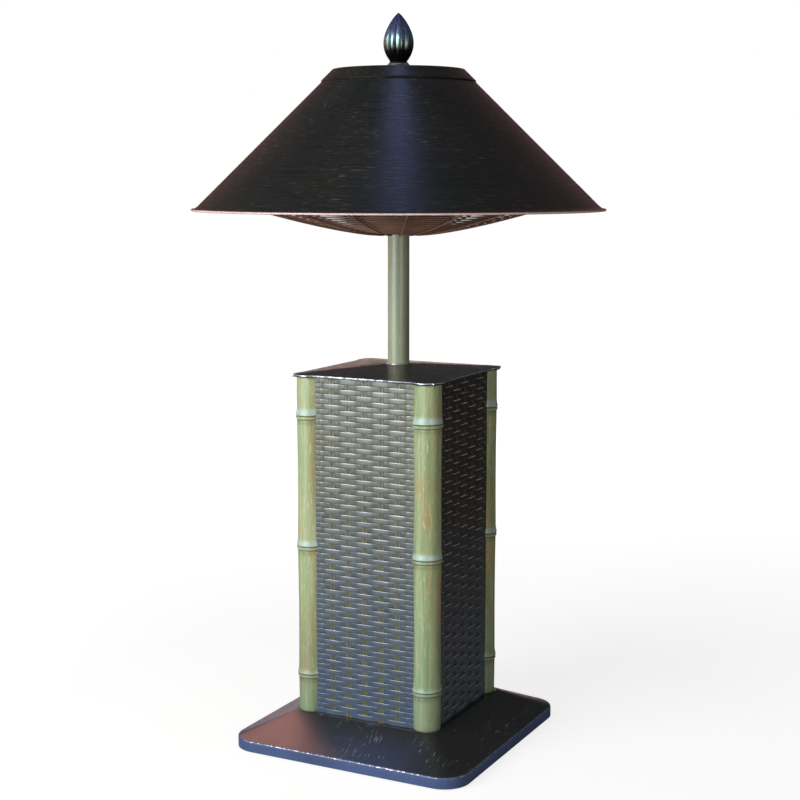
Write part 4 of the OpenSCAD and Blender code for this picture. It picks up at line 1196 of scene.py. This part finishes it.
def coilTree():
    tree, g = geometryTree("coils", (*coils, "Turns"), ("Count",))
    spiral = {"Resolution": 10, "Rotations": g["Turns"], "Start Radius": g["Radius"],
              "End Radius": g["Radius"], "Height": multiply(g["Half Length"], 2.0)}
    path = addNode(tree, "GeometryNodeCurveSpiral", spiral).outputs[0]
    place = vector(multiply(g["Half Length"], -1.0), g["Distance"], g["Height"])
    coil = swept(path, circleOf(tree, g["Wire"], 5))
    laid = {"Geometry": coil, "Rotation": (0, math.pi / 2, 0), "Translation": place}
    return closeTree(copiesRound(addNode(tree, "GeometryNodeTransform", laid).outputs[0], g["Count"]))


def makeTubes():
    for letter in "abc":
        node, name = "quartz_tube_" + letter, "quartzTube" + letter.upper()
        addPiece(name, welded(node, name, 0.2 * mm), quartz, [node])
    mesh = runTree("coils", coilTree(), coilWire, coils, {"Turns": 88.0, "Count": 3})
    addPiece("heatingCoils", mesh, coilWire, ["filaments"], angle=60)


makeGuard()
makeHead()
makeTubes()
simpleCopies([
    ("tube_end_caps", "ceramic", "end_ceramic", 0.5), ("tube_clips", "zincSteel", "zinc_steel", 0.3),
    ("head_flange", "zincSteel", "zinc_steel", 0.4), ("guard_hub", "guardEnamel", "guard_wire", 0.3),
    ("shield_spacers", "zincSteel", "zinc_steel", 0.3), ("shade_seat", "zincSteel", "zinc_steel", 0.3),
    ("center_rod", "zincSteel", "zinc_steel", 0.3), ("rod_nuts", "zincSteel", "zinc_steel", 0.4),
])
print("head done")

shadeShape = {
    "radius": 261.97, "rim": 687.5, "lip": 7.5, "lipRise": 5.0, "bead": 1.5, "wall": 1.68, "topRadius": 82.3,
    "top": 861.6, "crimps": 70, "crimpDepth": 0.22, "stepsPerCrimp": 8,
}


def makeShade():
    s = shadeShape
    lipR, lipZ, wall = s["radius"] - s["lip"], s["rim"] + s["lipRise"], s["wall"]
    slope = (s["topRadius"] - lipR) / (s["top"] - lipZ)
    rises = [0.6, 1.3, 2.2, 3.4, 5, 8] + [14 + i * (s["top"] - lipZ - 16) / 24 for i in range(25)]
    outer = arc(s["radius"] - s["bead"], s["rim"] + s["bead"], s["bead"], -150, 110, 14)
    outer += [(s["radius"] - 3.4, s["rim"] + 2.55), (lipR + 2.2, lipZ - 1.35), (lipR + 1, lipZ - 0.6),
              (lipR + 0.3, lipZ - 0.05)]
    outer += [(lipR + slope * rise, lipZ + rise) for rise in rises]
    outer.append((s["topRadius"], s["top"]))
    inner = [(s["topRadius"] - wall, s["top"])]
    inner += [(lipR - wall + slope * rise, lipZ + rise) for rise in (120, 60, 20, 6, 1)]
    inner += [(lipR - wall + 0.4, lipZ - 0.5), (s["radius"] - 4.2, s["rim"] + 1.4)]

    # crimps along the lip, and a slight unevenness of the cone
    def shift(angle, r, z):
        near = math.exp(-((z - lipZ) / 1.5) ** 2) if r > lipR - 3 else 0
        wave = math.cos(angle * s["crimps"]) + 0.5 * math.cos(angle * s["crimps"] / 2)
        r += s["crimpDepth"] * near * wave * (1 if r > lipR - wall / 2 + slope * (z - lipZ) else 0.5)
        if z > lipZ + 10:
            r += 0.12 * noise.noise(Vector((3 * math.cos(angle), 3 * math.sin(angle), z * 0.012)))
        return r, z

    mesh = spinMesh("shadeCone", outer + inner, s["crimps"] * s["stepsPerCrimp"], shift=shift)
    wearAndHighlight, rimHighlight = [], []
    for v in mesh.vertices:
        z, r = v.co.z / mm, math.hypot(v.co.x, v.co.y) / mm
        angle = math.atan2(v.co.y, v.co.x)
        # painted glints at the crimps along the lip crease, and a painted highlight line along the rim bead
        crimp = max(0, math.cos(angle * s["crimps"])) * (0.75 + 0.25 * math.cos(angle * s["crimps"] / 2))
        wearAndHighlight.append(0.42 * crimp * math.exp(-((z - lipZ) / 0.9) ** 2) * (r > lipR - 0.4))
        rimHighlight.append(math.exp(-((z - s["rim"] - 1.3) / 1.1) ** 4) * (r > s["radius"] - 1.6))
    setAttribute(mesh, "wearAndHighlight", wearAndHighlight)
    setAttribute(mesh, "rimHighlight", rimHighlight)
    addPiece("shadeCone", mesh, shadeEnamel, ["shade"], angle=40)


def makeShadeTop():
    s = shadeShape
    r, z0, z1 = roundBox("shade_top")
    topR = s["topRadius"] + 0.2
    slope = (s["radius"] - s["lip"] - topR) / (z1 - s["rim"] - s["lipRise"])
    skirt = topR + (z1 - 0.8 - z0) * slope
    r = min(r, skirt + 0.75)
    outline = [(rodHole, z1 - 1.2), (topR - 0.2, z1 - 1.2), (skirt + 0.15, z0 + 0.1), (r - 0.5, z0),
               (r, z0 + 0.35), (r - 0.25, z0 + 0.8)]
    outline += [(r - 0.3 - (r - 1.3 - topR) * i / 8, z0 + 1 + (z1 - 1.6 - z0) * i / 8) for i in range(9)]
    outline += [(topR + 0.7, z1 - 0.25), (topR - 0.3, z1)] + [(topR - 4 - 12 * i, z1) for i in range(6)]
    outline.append((rodHole, z1))
    mesh = spinMesh("shadeTop", outline, 256)
    wearAndHighlight = []
    for v in mesh.vertices:
        z, outside = v.co.z / mm, math.hypot(v.co.x, v.co.y) / mm > topR - 1
        # bright lines along the skirt's lower edge and the top's rim: partly worn paint, partly painted
        # highlight
        skirtEdge = 0.38 * math.exp(-((z - z0 - 0.5) / 0.6) ** 2)
        wearAndHighlight.append(skirtEdge + 0.2 * math.exp(-((z - z1 + 0.3) / 0.4) ** 2) * outside)
    setAttribute(mesh, "wearAndHighlight", wearAndHighlight)
    addPiece("shadeTop", mesh, shadeEnamel, ["shade_top"])


finialShape = {
    "radius": 19.2, "fullHeight": 67.0, "power": 1.183, "bend": 0.647, "neck": 10.8, "neckFrom": 55.0,
    "lobes": 10, "lobeDepth": 0.062, "bore": 4.05, "boreTop": 895.0,
}


def makeFinial():
    f = finialShape
    _, z0, tip = roundBox("finial")
    height = tip - z0

    # radius at a depth below the tip
    def bud(d):
        share = math.sin(math.pi * min(d / f["fullHeight"], 1) ** f["power"])
        return max(f["radius"] * share ** f["bend"], f["neck"] if d > f["neckFrom"] else 0)

    depths = [height * (1 - i / 90) ** 1.5 for i in range(2, 90)]
    outline = [(bud(height) - 0.5, z0), (bud(height), z0 + 0.5)] + [(bud(d), tip - d) for d in depths]
    outline += [(0, tip), (0, f["boreTop"]), (f["bore"], f["boreTop"]), (f["bore"], z0)]

    def shift(angle, r, z):
        d = tip - z
        if r > f["bore"] and d > 0.2:
            fade = min(1, d / 9) * min(1, max(0, (height - d) / 12))
            r *= 1 - f["lobeDepth"] * fade * (1 - abs(math.sin(f["lobes"] * angle / 2))) ** 0.8
        return r, z

    mesh = spinMesh("finialBud", outline, f["lobes"] * 24, shift=shift)
    addPiece("finialBud", mesh, finialEnamel, ["finial"], nodes["finial"]["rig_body"], 50)
    r, z0, z1 = roundBox("finial_collar")
    outline = [(rodHole, z0), (r - 0.2, z0), (r, z0 + 0.3)] + [(r, z0 + 1.2 * i) for i in range(1, 5)]
    outline += [(r - 0.05, z0 + 5.2), (r - 0.3, z0 + 5.8), (r - 0.8, z0 + 6.5), (12.9, z0 + 7.1),
                (12.2, z0 + 7.7), (11.9, z1 - 0.7), (11.6, z1 - 0.2), (11.2, z1), (rodHole, z1)]
    mesh = spinMesh("finialCollar", outline, 128)
    # painted highlight: a pale line round the collar where it steps in
    wearAndHighlight = [0.95 * math.exp(-((v.co.z / mm - z0 - 6.2) / 0.7) ** 2) for v in mesh.vertices]
    setAttribute(mesh, "wearAndHighlight", wearAndHighlight)
    addPiece("finialCollar", mesh, collarEnamel, ["finial_collar"], angle=35)


makeShade()
makeShadeTop()
makeFinial()
print("shade and finial done")
